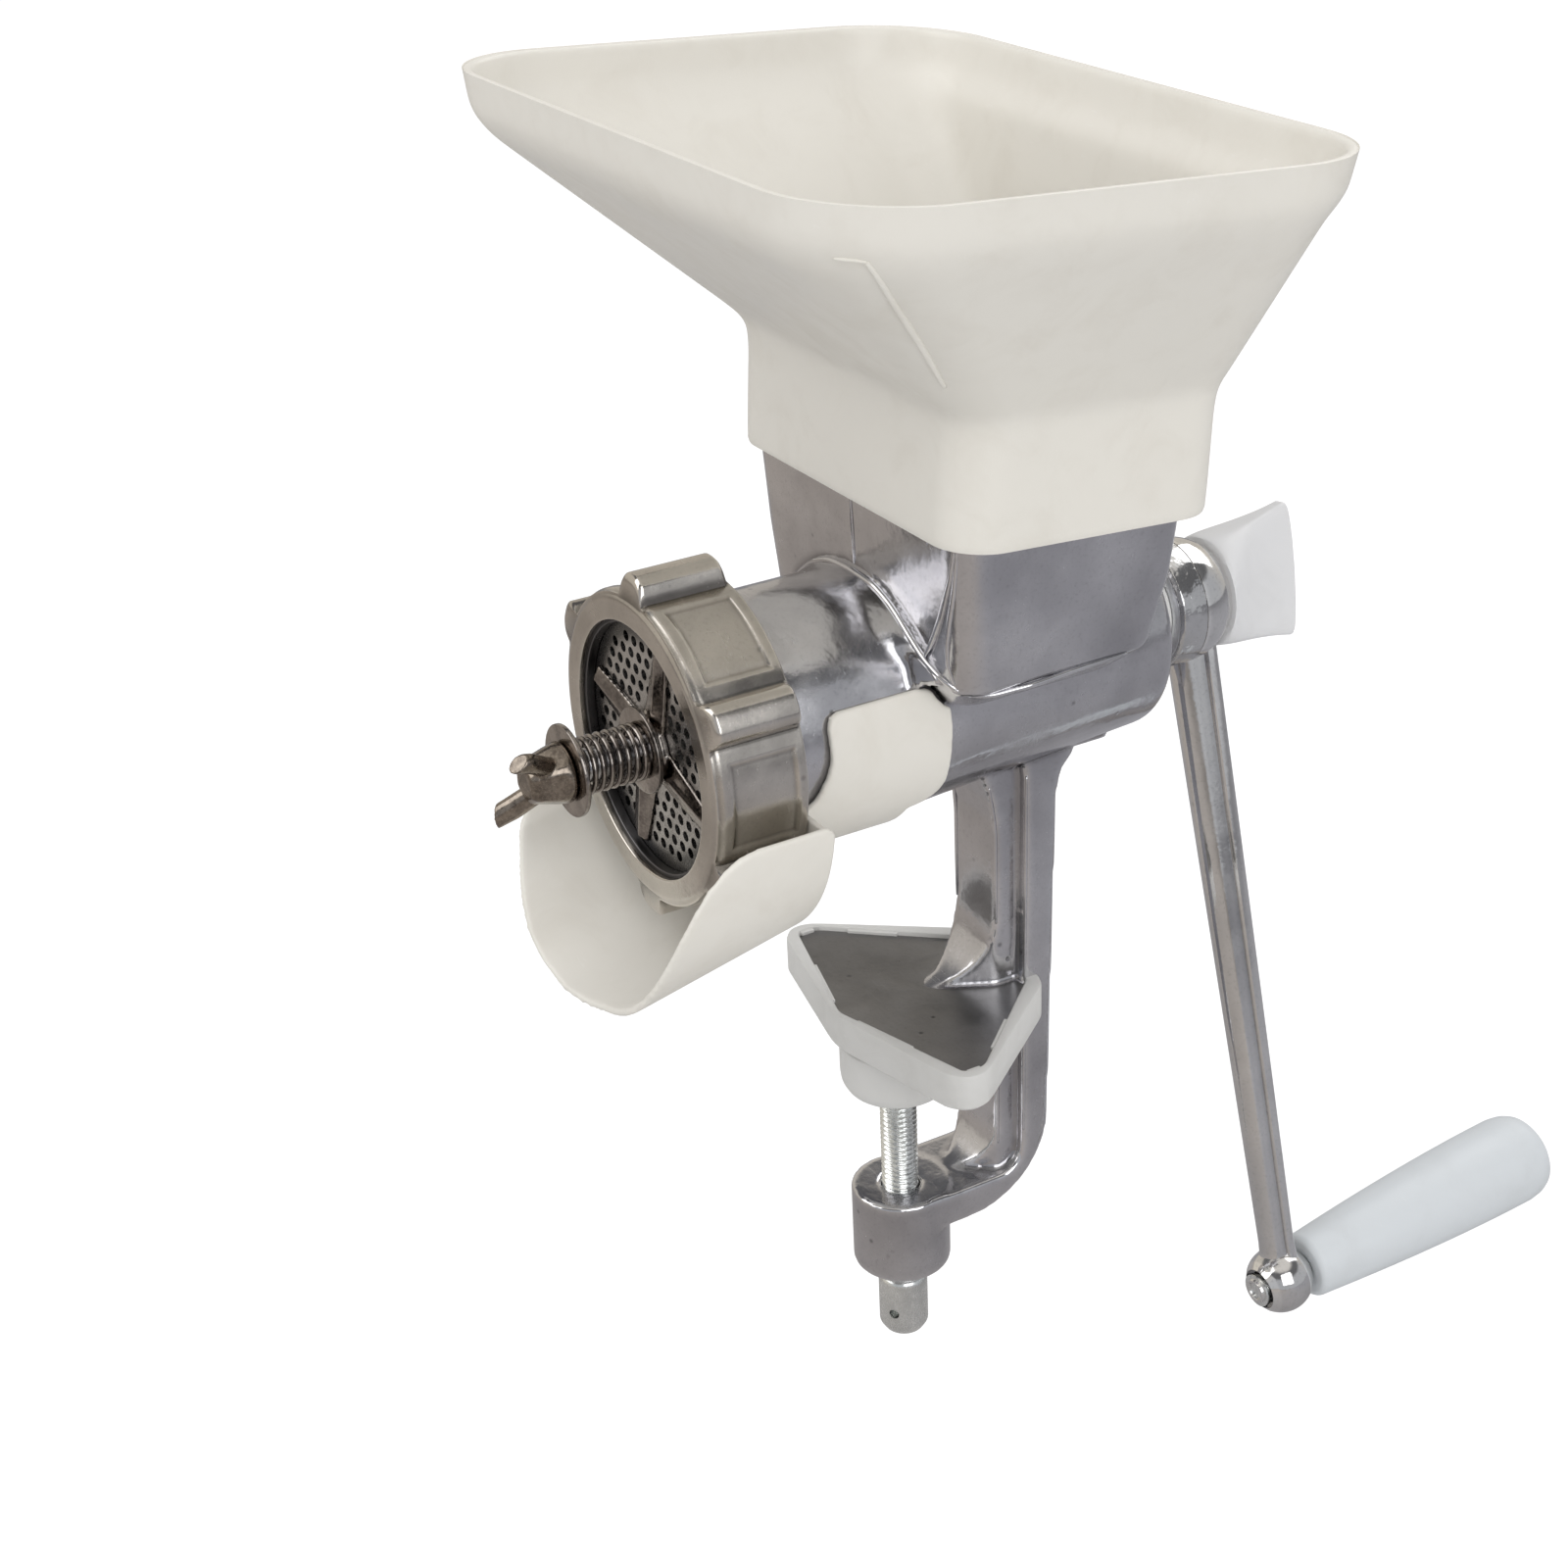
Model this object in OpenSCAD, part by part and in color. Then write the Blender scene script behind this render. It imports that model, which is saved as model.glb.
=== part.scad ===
// Hand crank grinder with a clamp foot, a pellet plate, an outside knife and a plastic hopper.
// Frame: X to the right, Y from the outlet back to the crank, Z up. The origin is the table
// seat under the upper clamp jaw, on the clamp screw's axis.

/* [Barrel] */
// Height of the barrel's axis above the table seat
axis_h = 98; // [90:1:120]
// Distance from the ring nut's face back to the clamp screw
face_to_screw = 67; // [64:1:74]
// Outer radius of the barrel in front of the neck
barrel_r = 30.5; // [30:0.5:33]
// Outer radius of the barrel at its rear end
barrel_rear_r = 27; // [25:0.5:29]
// Distance from the ring nut's face to the barrel's rear end
barrel_end_y = 134; // [130:1:140]
// Radius of the barrel's bore
bore_r = 23; // [20:0.5:24]
// Thickness of the barrel's rear wall
rear_wall = 9; // [6:0.5:12]
// Outer radius of the rear bearing boss
boss_r = 13; // [12:0.1:15]
// Length of the rear bearing boss
boss_len = 8.2; // [6:0.2:14]

/* [Ring nut and plate] */
// Outer radius of the ring nut
ring_r = 38; // [37:0.5:40]
// Length of the ring nut
ring_len = 23.5; // [20:0.5:26]
// Radius of the ring nut's front opening
ring_open_r = 29.9; // [28.5:0.1:30.3]
// Thickness of the ring nut's front lip
ring_lip = 4; // [3:0.5:5]
// Radius of the thread between the ring nut and the barrel
thread_r = 34; // [33:0.5:35]
// Number of grip lugs on the ring nut
lug_count = 6; // [4:1:8]
// Radius of the ring nut over its lugs
lug_tip_r = 43.6; // [41:0.2:43.8]
// Width of a lug at its tip
lug_w = 7.5; // [6:0.5:10]
// Radius of the perforated plate
plate_r = 31.2; // [31:0.1:32]
// Thickness of the perforated plate
plate_t = 5; // [3:0.5:6]
// Radius of the holes in the perforated plate
hole_r = 1.3; // [1:0.1:1.6]
// Distance between the centres of neighbouring plate holes
hole_pitch = 4; // [3.8:0.1:6]

/* [Shaft and knife] */
// Radius of the plain shaft in its bearings
shaft_r = 7; // [6:0.25:8]
// Radius of the threaded front stud
stud_r = 4; // [3:0.25:5]
// Distance that the front stud reaches ahead of the ring nut's face
stud_reach = 28; // [26:0.5:32]
// Radius of the auger's root at its front
auger_root_r = 10; // [9:0.5:12]
// Lead of the auger's flight
auger_lead = 30; // [24:1:36]
// Tip radius of the knife
knife_r = 28; // [24:0.5:28.2]
// Thickness of the knife's arms
knife_t = 2.4; // [1.5:0.1:2.6]
// Radius of the knife's hub
knife_hub_r = 9; // [8:0.25:10]
// Outer radius of the spring
spring_r = 6.9; // [6.2:0.1:8]
// Radius of the spring's wire
wire_r = 0.65; // [0.5:0.05:0.8]
// Number of turns in the spring
spring_turns = 9; // [6:1:11]
// Outer radius of the rear washer
rear_washer_r = 10.4; // [9:0.1:12]
// Outer radius of the front washer
front_washer_r = 11; // [9:0.1:12]
// Thickness of both spring washers
washer_t = 1.2; // [0.8:0.1:1.6]
// Distance from the ring nut's face forward to the front washer's rear face
spring_front = 17; // [15:0.5:20]
// Outer radius of the wing nut's body
nut_r = 6.6; // [6:0.1:8]
// Length of the wing nut's body
nut_len = 7; // [5:0.5:9]

/* [Neck and hopper] */
// Half of the neck's width at its mouth
neck_hw = 47; // [44:0.5:48]
// Distance from the ring nut's face to the neck's front
neck_front_y = 58.5; // [58:0.5:60]
// Depth of the neck from front to back
neck_depth = 63; // [60:0.5:65]
// Thickness of the neck's walls
neck_wall = 3.5; // [3:0.25:5]
// Height of the neck's mouth above the collar's lower edge
neck_mouth = 22; // [20:0.5:24]
// Height of the collar's lower edge above the barrel's axis, at the front
collar_low = 50; // [48:0.5:52]
// Backward tilt of the neck's mouth and the hopper, in degrees
hopper_tilt = 4; // [0:0.5:5]
// Thickness of the hopper's wall
hopper_wall = 2.4; // [2:0.1:3]
// Half of the collar's width
collar_hw = 51.6; // [50.5:0.1:54]
// Distance that the collar stands ahead of the neck's front
collar_ahead = 3.1; // [2.9:0.1:5]
// Depth of the collar from front to back
collar_depth = 72; // [69:0.5:76]
// Height of the hopper's rim above the collar's lower edge
rim_h = 88; // [75:1:100]
// Half of the rim's width
rim_hw = 93.3; // [85:0.1:100]
// Distance that the rim stands ahead of the collar's front
rim_ahead = 59.5; // [50:0.5:65]
// Depth of the rim from front to back
rim_depth = 137.5; // [128:0.5:145]
// Corner radius of the hopper's rim
rim_corner = 28; // [16:1:40]
// Height of the upright lip below the rim
rim_lip = 11; // [8:0.5:16]

/* [Clamp] */
// Width of the clamp leg's front rib
leg_w = 18.6; // [14:0.2:22]
// Width of the leg's back flange and of the lower arm
flange_w = 25.4; // [24:0.2:25.8]
// Depth of the leg's back flange
flange_d = 9.5; // [7:0.5:12]
// Depth of the clamp leg
leg_d = 16.6; // [14:0.2:20]
// Distance from the clamp screw back to the leg's front
throat = 24.8; // [20:0.2:30]
// Half of the upper jaw's greatest width
jaw_hw = 40.7; // [34:0.5:44]
// Distance from the clamp screw forward to the jaw's tip
jaw_tip = 16.5; // [14:0.5:20]
// Thickness of the upper jaw
jaw_t = 7.5; // [6:0.5:10]
// Thickness of the jaw boot's floor
boot_floor = 1.7; // [1.2:0.1:2.5]
// Thickness of the jaw boot's side wall
boot_wall = 3; // [2:0.1:4]
// Depth of the lower arm's top below the table seat
arm_drop = 48.2; // [42:0.2:60]
// Thickness of the lower arm
arm_t = 9.6; // [7:0.2:14]
// Outer radius of the boss around the clamp screw
screw_boss_r = 13; // [11:0.5:15]
// Length of the boss around the clamp screw
screw_boss_len = 26.8; // [22:0.2:34]
// Radius of the clamp screw
screw_r = 5; // [4:0.25:6]
// Radius of the clamp screw's head
head_r = 6.6; // [6:0.1:8]
// Length of the clamp screw's head
head_len = 19; // [14:1:24]
// Radius of the pressure pad
pad_r = 14.8; // [12:0.1:18]
// Height of the pressure pad
pad_h = 14.4; // [12:0.2:18]
// Gap between the pressure pad and the table seat, as the clamp stands
pad_gap = 2.6; // [2.2:0.1:20]

/* [Chute] */
// Wall thickness of the chute
chute_wall = 1.8; // [1.4:0.1:2.5]
// Outer radius of the chute's trough
trough_r = 46; // [45.9:0.1:50]
// Slope of the trough, in degrees
trough_slope = 12.5; // [9:0.5:14]
// Distance that the trough reaches ahead of the ring nut's face
trough_reach = 19; // [16:0.5:22]
// Depth of the trough's lip below the barrel's axis
lip_drop = 7.5; // [6:0.5:12]
// Height of the clip's upper edge above the barrel's axis
clip_rise = 11.5; // [8:0.5:12]
// Length of the clip along the barrel
clip_len = 32.3; // [26:0.1:34]

/* [Crank] */
// Distance from the shaft's axis to the grip's axis
crank_len = 189.2; // [150:0.2:220]
// Angle of the crank from straight down
crank_lean = 15.6; // [0:0.2:30]
// Radius of the crank's hub
hub_r = 16.2; // [14.6:0.1:18]
// Thickness of the crank's hub
hub_t = 18.2; // [15:0.2:22]
// Width of the crank's arm beside the hub
arm_hub_w = 12.4; // [11:0.2:18]
// Width of the crank's arm beside the ball
arm_ball_w = 10.6; // [8:0.2:12]
// Thickness of the flange along the crank's arm
arm_flange_t = 2.4; // [2:0.1:5]
// Radius of the ball that holds the grip
ball_r = 9; // [8:0.25:11]
// Length of the grip
grip_len = 83; // [70:1:100]
// Angle that the grip leans towards the hub, in degrees
grip_tilt = 4.2; // [0:0.2:6]
// Radius of the grip beside the ball
grip_near_r = 9; // [8:0.25:10]
// Radius of the grip at its free end
grip_far_r = 12.6; // [11:0.25:15]
// Radius of the pin in the grip
pin_r = 3.5; // [2.5:0.25:4]
// Half of the thumb knob's width at its free edge
knob_hw = 18; // [16:0.5:22]
// Length of the thumb knob
knob_len = 28.5; // [22:0.5:32]
// Thickness of the thumb knob's wings
wing_t = 5; // [3.5:0.25:7]

/* [Hidden] */
$fn = 96;

// Colours
c_cast = [0.62, 0.62, 0.65];
c_steel = [0.5, 0.5, 0.52];
c_zinc = [0.68, 0.7, 0.7];
c_ivory = [0.88, 0.86, 0.82];
c_white = [0.88, 0.88, 0.88];
c_nylon = [0.93, 0.93, 0.92];

// Clearances
eps = 0.01;
run_clear = 0.06;
skin_clear = 0.3;
seat_clear = 0.05;
press_clear = 0.02;

// Places along the barrel, from the ring nut's face back
plate_front_y = ring_lip;
plate_back_y = plate_front_y + plate_t;
mouth_y = plate_front_y + 1.5;
mouth_thread_len = ring_len - mouth_y - 1;
rear_wall_y = barrel_end_y - rear_wall;
boss_end_y = barrel_end_y + boss_len;
hub_front_y = boss_end_y + 1.3;
hub_back_y = hub_front_y + hub_t;
knife_back_y = plate_front_y - seat_clear;
knife_front_y = knife_back_y - knife_t;
rear_washer_front_y = knife_front_y - seat_clear - washer_t;
nut_back_y = -spring_front - washer_t - seat_clear;
nut_front_y = nut_back_y - nut_len;
square_w = 2 * stud_r + 2.2;

// Heights of the clamp, from the table seat
jaw_top_z = boot_floor + jaw_t;
arm_top_z = -arm_drop;
arm_low_z = arm_top_z - arm_t;
screw_boss_low_z = arm_top_z - screw_boss_len;
pad_low_z = -pad_gap - pad_h;
head_top_z = screw_boss_low_z - 1;
leg_back = throat + leg_d;

// Collar and rim, measured back from the neck's front
collar_front = -collar_ahead;
collar_back = collar_front + collar_depth;
rim_front = collar_front - rim_ahead;
rim_back = rim_front + rim_depth;
flare_start = neck_mouth + 10;
shoulder_t = 2;

// Crank
grip_gap = 0.8;
rivet_r = 4.6;
arm_y = hub_back_y - 6.6;
trough_back_y = ring_len + 2.3;
clip_start_y = ring_len + 9.5;

// Puts what is built on the barrel's axis, with the ring nut's face at y = 0, into the frame
module on_axis() {
    translate([0, -face_to_screw, axis_h]) children();
}

// Cylinder around the barrel's axis from y0 back to y1
module y_rod(r, y0, y1) {
    translate([0, y1, 0]) rotate([90, 0, 0]) cylinder(r = r, h = y1 - y0);
}

// Cone around the barrel's axis, radius r0 at y0 and r1 at y1
module y_cone(r0, r1, y0, y1) {
    translate([0, y1, 0]) rotate([90, 0, 0]) cylinder(r1 = r1, r2 = r0, h = y1 - y0);
}

// Outline in the X-Z plane, extruded from y0 back to y1
module y_slab(y0, y1) {
    translate([0, y1, 0]) rotate([90, 0, 0]) linear_extrude(y1 - y0) children();
}

// Outline in the Y-Z plane, extruded over width w across the middle
module x_slab(w) {
    translate([-w / 2, 0, 0]) rotate([90, 0, 90]) linear_extrude(w) children();
}

// Profile of [radius, y] points, turned around the barrel's axis
module y_turned(points) {
    rotate([-90, 0, 0]) rotate_extrude() polygon(points);
}

// Block between two opposite corners
module block(low, high) {
    translate(low) cube(high - low);
}

// Flat rounded rectangle in plan, from x = -hw to hw and y = y0 to y1
module plan_rect(hw, y0, y1, corner, z, t = 0.1) {
    for (x = [-hw + corner, hw - corner], y = [y0 + corner, y1 - corner])
        translate([x, y, z]) cylinder(r = corner, h = t, $fn = 32);
}

// ---- Body casting ----

// Puts what is built on the tilted mouth, with the collar's lower front edge at the origin, in place
module on_mouth() {
    on_axis() translate([0, neck_front_y, collar_low]) rotate([-hopper_tilt, 0, 0]) children();
}

// Outer skin of the neck, grown by grow on every side
module neck_skin(grow = 0) {
    back = neck_depth;
    hull() {
        on_mouth() {
            plan_rect(neck_hw + grow, -grow, back + grow, 6 + grow, neck_mouth - 0.1);
            plan_rect(neck_hw - 0.2 + grow, 0.2 - grow, back - 0.3 + grow, 6.8 + grow, 0);
        }
        on_axis() translate([0, neck_front_y, 0]) {
            plan_rect(neck_hw - 1.5 + grow, 1 - grow, back - 2 + grow, 7 + grow, 30);
            plan_rect(neck_hw - 3.8 + grow, 1.5 - grow, back - 5.5 + grow, 8 + grow, 13 - grow);
            plan_rect(neck_hw - 11 + grow, 5.5 - grow, back - 11 + grow, 8 + grow, 6.5 - grow);
        }
    }
}

// Funnel inside the neck, down into the barrel's bore
module neck_funnel() {
    back = neck_depth - neck_wall;
    hull() {
        on_mouth() plan_rect(neck_hw - neck_wall, neck_wall, back, 6, neck_mouth);
        on_axis() translate([0, neck_front_y, 0]) {
            plan_rect(neck_hw - neck_wall - 1.5, neck_wall + 1, back - 2, 8, 30);
            plan_rect(bore_r - 3, neck_wall + 4, back - 10, 8, 8);
        }
    }
}

// Barrel, thread and rear boss as one turned shape
module barrel_skin() {
    round_r = 4;
    y_turned([[0, mouth_y], [thread_r, mouth_y], [thread_r, mouth_y + mouth_thread_len],
        [barrel_r, mouth_y + mouth_thread_len + 1.5], [barrel_r, neck_front_y + 3],
        [barrel_rear_r, barrel_end_y - round_r],
        for (a = [15 : 15 : 75])
            [barrel_rear_r - round_r * (1 - cos(a)), barrel_end_y - round_r * (1 - sin(a))],
        [barrel_rear_r - round_r, barrel_end_y], [boss_r, barrel_end_y], [boss_r, boss_end_y - 1],
        [boss_r - 1, boss_end_y], [0, boss_end_y]]);
}

// Raised rib along the barrel's underside
module barrel_rib() {
    y_slab(neck_front_y + 8, barrel_end_y - 8) {
        translate([-leg_w / 2, -barrel_rear_r - 1.2]) square([leg_w, 12]);
    }
}

// Side outline of the leg's back flange, the lower arm and their corner
module flange_outline() {
    corner = 25;
    inner = 7;
    draft = 2.6;
    front = leg_back - flange_d;
    under_barrel = axis_h - barrel_rear_r + 4;
    polygon([[front - 1, under_barrel], [front, under_barrel - 8], [front - draft * 0.5, arm_top_z + inner],
        for (a = [15 : 15 : 90])
            [front - draft * 0.5 - inner + inner * cos(a), arm_top_z + inner - inner * sin(a)],
        [0, arm_top_z], [0, arm_low_z],
        for (a = [90 : -10 : 0])
            [leg_back - draft - corner + corner * cos(a), arm_low_z + corner - corner * sin(a)],
        [leg_back, under_barrel - 14], [leg_back + 1.5, under_barrel - 8], [leg_back + 5, under_barrel - 4],
        [leg_back + 5, under_barrel]]);
}

// Side outline of the rib on the leg's front
module rib_outline() {
    under_barrel = axis_h - barrel_rear_r + 4;
    polygon([[leg_back - 2, under_barrel], [throat - 4, under_barrel], [throat - 3.4, under_barrel - 6],
        [throat - 1, under_barrel - 13], [throat, under_barrel - 19], [throat, arm_top_z - 1],
        [leg_back - 4, arm_top_z - 1]]);
}

// Gusset that runs from the leg's front down onto the plate below it
module gusset(base_z, reach, height) {
    intersection() {
        x_slab(leg_w) {
            difference() {
                translate([throat - reach, base_z]) square([reach + 1, height]);
                translate([throat - reach, base_z + height]) scale([reach, height]) circle(r = 1);
            }
        }
        linear_extrude(height = 200, center = true) polygon([[0, throat - reach],
            [leg_w / 2, throat], [leg_w / 2, throat + 1], [-leg_w / 2, throat + 1], [-leg_w / 2, throat]]);
    }
}

// Plan outline of the upper jaw
module jaw_outline(grow = 0) {
    side_front = -jaw_tip + 11.2;
    polygon([[0, -jaw_tip - grow * 1.05], [jaw_hw + grow, side_front - grow * 0.75],
        [jaw_hw + grow, side_front + 5.6 + grow * 0.5],
        [flange_w / 2 + grow * 1.3, leg_back - flange_d], [-flange_w / 2 - grow * 1.3, leg_back - flange_d],
        [-jaw_hw - grow, side_front + 5.6 + grow * 0.5],
        [-jaw_hw - grow, side_front - grow * 0.75]]);
}

module body_casting() {
    color(c_cast) difference() {
        union() {
            on_axis() barrel_skin();
            on_axis() barrel_rib();
            neck_skin();
            x_slab(flange_w) flange_outline();
            x_slab(leg_w) rib_outline();
            translate([0, 0, boot_floor]) linear_extrude(jaw_t) jaw_outline();
            gusset(jaw_top_z - eps, 17.5, 20);
            gusset(arm_top_z - eps, 12.5, 14);
            rotate_extrude() polygon([[0, screw_boss_low_z], [screw_boss_r - 4.5, screw_boss_low_z],
                [screw_boss_r, screw_boss_low_z + 4], [screw_boss_r, arm_top_z + 0.4], [0, arm_top_z + 0.4]]);
        }
        on_axis() {
            y_rod(bore_r, mouth_y - 1, rear_wall_y);
            y_rod(plate_r + run_clear, mouth_y - 1, plate_back_y);
            y_rod(shaft_r + bush_wall, rear_wall_y - 1, boss_end_y + 1);
            translate([0, 0, plate_r - 1.2]) y_rod(1.5, mouth_y - 1, plate_back_y);
        }
        neck_funnel();
        translate([0, 0, screw_boss_low_z - 1]) cylinder(r = screw_r + run_clear, h = screw_boss_len + 2);
    }
}

// ---- Rear bearing ----
bush_wall = 2.5;
bush_flange = 1;

module rear_bush() {
    color(c_nylon) on_axis() difference() {
        union() {
            y_rod(shaft_r + bush_wall, rear_wall_y, boss_end_y);
            y_rod(shaft_r + bush_wall + 2.5, boss_end_y, boss_end_y + bush_flange);
        }
        y_rod(shaft_r + run_clear, rear_wall_y - 1, boss_end_y + bush_flange + 1);
    }
}

module thrust_washer() {
    color(c_nylon) on_axis() difference() {
        y_rod(bore_r - 6, rear_wall_y - 1.6, rear_wall_y - seat_clear);
        y_rod(shaft_r + 0.3, rear_wall_y - 3, rear_wall_y + 1);
    }
}

// ---- Pellet plate ----
plate_hub_r = 9.5;
journal_r = 6;

function in_field(x, z) = norm([x, z]) > plate_hub_r + hole_r && norm([x, z]) < ring_open_r - hole_r - 2.2;

module plate_holes() {
    rows = ceil(plate_r / (hole_pitch * 0.866));
    for (row = [-rows : rows], column = [-rows : rows]) {
        x = (column + (abs(row) % 2) / 2) * hole_pitch;
        z = row * hole_pitch * sqrt(3) / 2;
        if (in_field(x, z))
            translate([x, z]) circle(r = hole_r, $fn = 16);
    }
}

module perforated_plate() {
    color(c_steel) on_axis() y_slab(plate_front_y, plate_back_y) difference() {
        circle(r = plate_r);
        circle(r = journal_r + run_clear);
        plate_holes();
        translate([0, plate_r - 1.2]) circle(r = 1.5 + run_clear);
    }
}

module plate_pin() {
    color(c_steel) on_axis() translate([0, 0, plate_r - 1.2])
        y_rod(1.5, plate_front_y + 0.5, plate_back_y);
}

// ---- Ring nut ----
module lug() {
    rotate([0, 0, -1]) polygon([[ring_r - 2, -lug_w / 2 - 2.8], [ring_r - 0.6, -lug_w / 2 - 2.4],
        [lug_tip_r - 0.8, -lug_w / 2], [lug_tip_r, -lug_w / 2 + 1], [lug_tip_r, lug_w / 2 - 1],
        [lug_tip_r - 0.8, lug_w / 2], [ring_r - 0.6, lug_w / 2 + 2.4], [ring_r - 2, lug_w / 2 + 2.8]]);
}

module ring_nut() {
    edge = 1.6;
    color(c_cast) on_axis() {
        y_turned([[ring_open_r, 0], [ring_r - edge, 0], [ring_r - edge * 0.29, edge * 0.29], [ring_r, edge],
            [ring_r, ring_len - 1], [ring_r - 1, ring_len], [thread_r + run_clear, ring_len],
            [thread_r + run_clear, ring_lip], [ring_open_r, ring_lip]]);
        y_slab(1.2, ring_len - 1.2) for (i = [0 : lug_count - 1])
            rotate(30 + i * 360 / lug_count) lug();
    }
}

// ---- Shaft, auger and knife ----
auger_front_y = plate_back_y + 0.6;
auger_back_y = rear_wall_y - 1.9;
flight_r = bore_r - 0.6;
flight_w = 5;

// Square section across the barrel's axis from y0 back to y1
module y_square(w, y0, y1) {
    block([-w / 2, y0, -w / 2], [w / 2, y1, w / 2]);
}

// Helical flight, swept as a tapering ribbon around the shaft
module flight() {
    per_turn = 24;
    front = auger_front_y + flight_w / 2 + 0.2;
    len = auger_back_y - flight_w / 2 - 0.2 - front;
    count = ceil(len / auger_lead * per_turn);
    root = auger_root_r - 1.5;
    tip_w = flight_w * 0.55;
    section = [[root, -flight_w / 2], [flight_r, -tip_w / 2], [flight_r, tip_w / 2], [root, flight_w / 2]];
    points = [for (i = [0 : count], p = section)
        let (a = -360 * len / auger_lead * i / count)
            [p[0] * cos(a), front + len * i / count + p[1], p[0] * sin(a)]];
    faces = [
        for (i = [0 : count - 1], j = [0 : 3], half = [0, 1])
            let (k = (j + 1) % 4, a = i * 4 + j, b = i * 4 + k)
                half == 0 ? [a, b, b + 4] : [a, b + 4, a + 4],
        [3, 2, 1, 0], [for (j = [0 : 3]) count * 4 + j]];
    polyhedron(points, faces);
}

module auger() {
    color(c_cast) on_axis() difference() {
        union() {
            y_cone(auger_root_r, auger_root_r + 3, auger_front_y, auger_back_y);
            flight();
            y_rod(journal_r, plate_front_y, auger_front_y + eps);
            y_square(square_w * 0.8, knife_front_y + seat_clear, plate_front_y + eps);
            y_rod(stud_r, -stud_reach, knife_back_y);
            y_rod(shaft_r, auger_back_y - eps, hub_front_y);
            y_square(square_w, hub_front_y - eps, hub_back_y - 0.5);
        }
        y_rod(stud_knob_r + run_clear, hub_back_y - knob_thread_len - 1, hub_back_y);
    }
}

// One arm of the knife, pointing along +X
module knife_arm() {
    root = knife_hub_r - 1.5;
    polygon([[root * 0.5, -root * 0.55], [root, -root * 0.55], [knife_r - 1, -1.2], [knife_r, 0.6],
        [knife_r - 0.6, 3.6], [root + 5, root * 0.45], [root * 0.5, root * 0.6]]);
}

module knife() {
    bore_w = square_w * 0.8 + 2 * run_clear;
    color(c_steel) on_axis() y_slab(knife_front_y, knife_back_y) difference() {
        union() {
            circle(r = knife_hub_r);
            for (i = [0 : 3]) rotate(70 + 90 * i) knife_arm();
        }
        square([bore_w, bore_w], center = true);
    }
}

module y_washer(outer, y0, y1) {
    difference() {
        y_rod(outer, y0, y1);
        y_rod(stud_r + 0.15, y0 - 1, y1 + 1);
    }
}

module rear_washer() {
    color(c_steel) on_axis() y_washer(rear_washer_r, rear_washer_front_y, rear_washer_front_y + washer_t);
}

module front_washer() {
    color(c_steel) on_axis() y_washer(front_washer_r, -spring_front - washer_t, -spring_front);
}

// Coil spring between the two washers, as one swept tube with flat-lying end turns
module spring() {
    sides = 8;
    per_turn = 16;
    mid_r = spring_r - wire_r;
    gap = 0.05;
    low = -spring_front + wire_r + gap;
    high = rear_washer_front_y - wire_r - gap;
    count = spring_turns * per_turn;
    end_share = 1 / spring_turns;
    function rise(t) = t < end_share ? 0.03 * t / end_share
        : t > 1 - end_share ? 1 - 0.03 * (1 - t) / end_share
        : 0.03 + 0.94 * (t - end_share) / (1 - 2 * end_share);
    points = [for (i = [0 : count], j = [0 : sides - 1])
        let (t = i / count, a = 360 * spring_turns * t, b = 360 * j / sides, r = mid_r + wire_r * cos(b))
            [r * cos(a), low + (high - low) * rise(t) + wire_r * sin(b), r * sin(a)]];
    faces = [
        for (i = [0 : count - 1], j = [0 : sides - 1])
            let (k = (j + 1) % sides) [i * sides + j, i * sides + k, (i + 1) * sides + k, (i + 1) * sides + j],
        [for (j = [sides - 1 : -1 : 0]) j],
        [for (j = [0 : sides - 1]) count * sides + j]];
    color(c_steel) on_axis() polyhedron(points, faces);
}

// One ear of the wing nut, rising outward and forward
module nut_ear() {
    hull() {
        translate([nut_r - 2.4, nut_front_y + 4.2, 0]) rotate([90, 0, 0]) cylinder(r = 2, h = 3.4, $fn = 24);
        translate([nut_r + 2.6, nut_front_y - 3.5, 0]) rotate([0, 0, 35]) scale([1.1, 1.7, 1]) sphere(r = 2.3, $fn = 24);
    }
    hull() {
        translate([nut_r + 2.6, nut_front_y - 3.5, 0]) rotate([0, 0, 35]) scale([1.1, 1.7, 1]) sphere(r = 2.3, $fn = 24);
        translate([nut_r + 3.2, nut_front_y - 6.6, 0]) scale([0.8, 1.2, 1.5]) sphere(r = 2.1, $fn = 24);
    }
}

module wing_nut() {
    color(c_steel) on_axis() difference() {
        union() {
            y_cone(nut_r - 1.6, nut_r, nut_front_y, nut_front_y + 3);
            y_rod(nut_r, nut_front_y + 3, nut_back_y);
            for (turn = [0, 180]) rotate([0, -55 + turn, 0]) nut_ear();
        }
        y_rod(stud_r + run_clear, nut_front_y - 12, nut_back_y + 1);
    }
}

// ---- Hopper ----
// Thin slab of the hopper's section at height w, from v0 back to v1
module slab(hw, v0, v1, corner, w) {
    for (x = [-hw + corner, hw - corner], v = [v0 + corner, v1 - corner])
        translate([x, v, w]) cylinder(r = corner, h = 0.1, $fn = 48);
}

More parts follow.
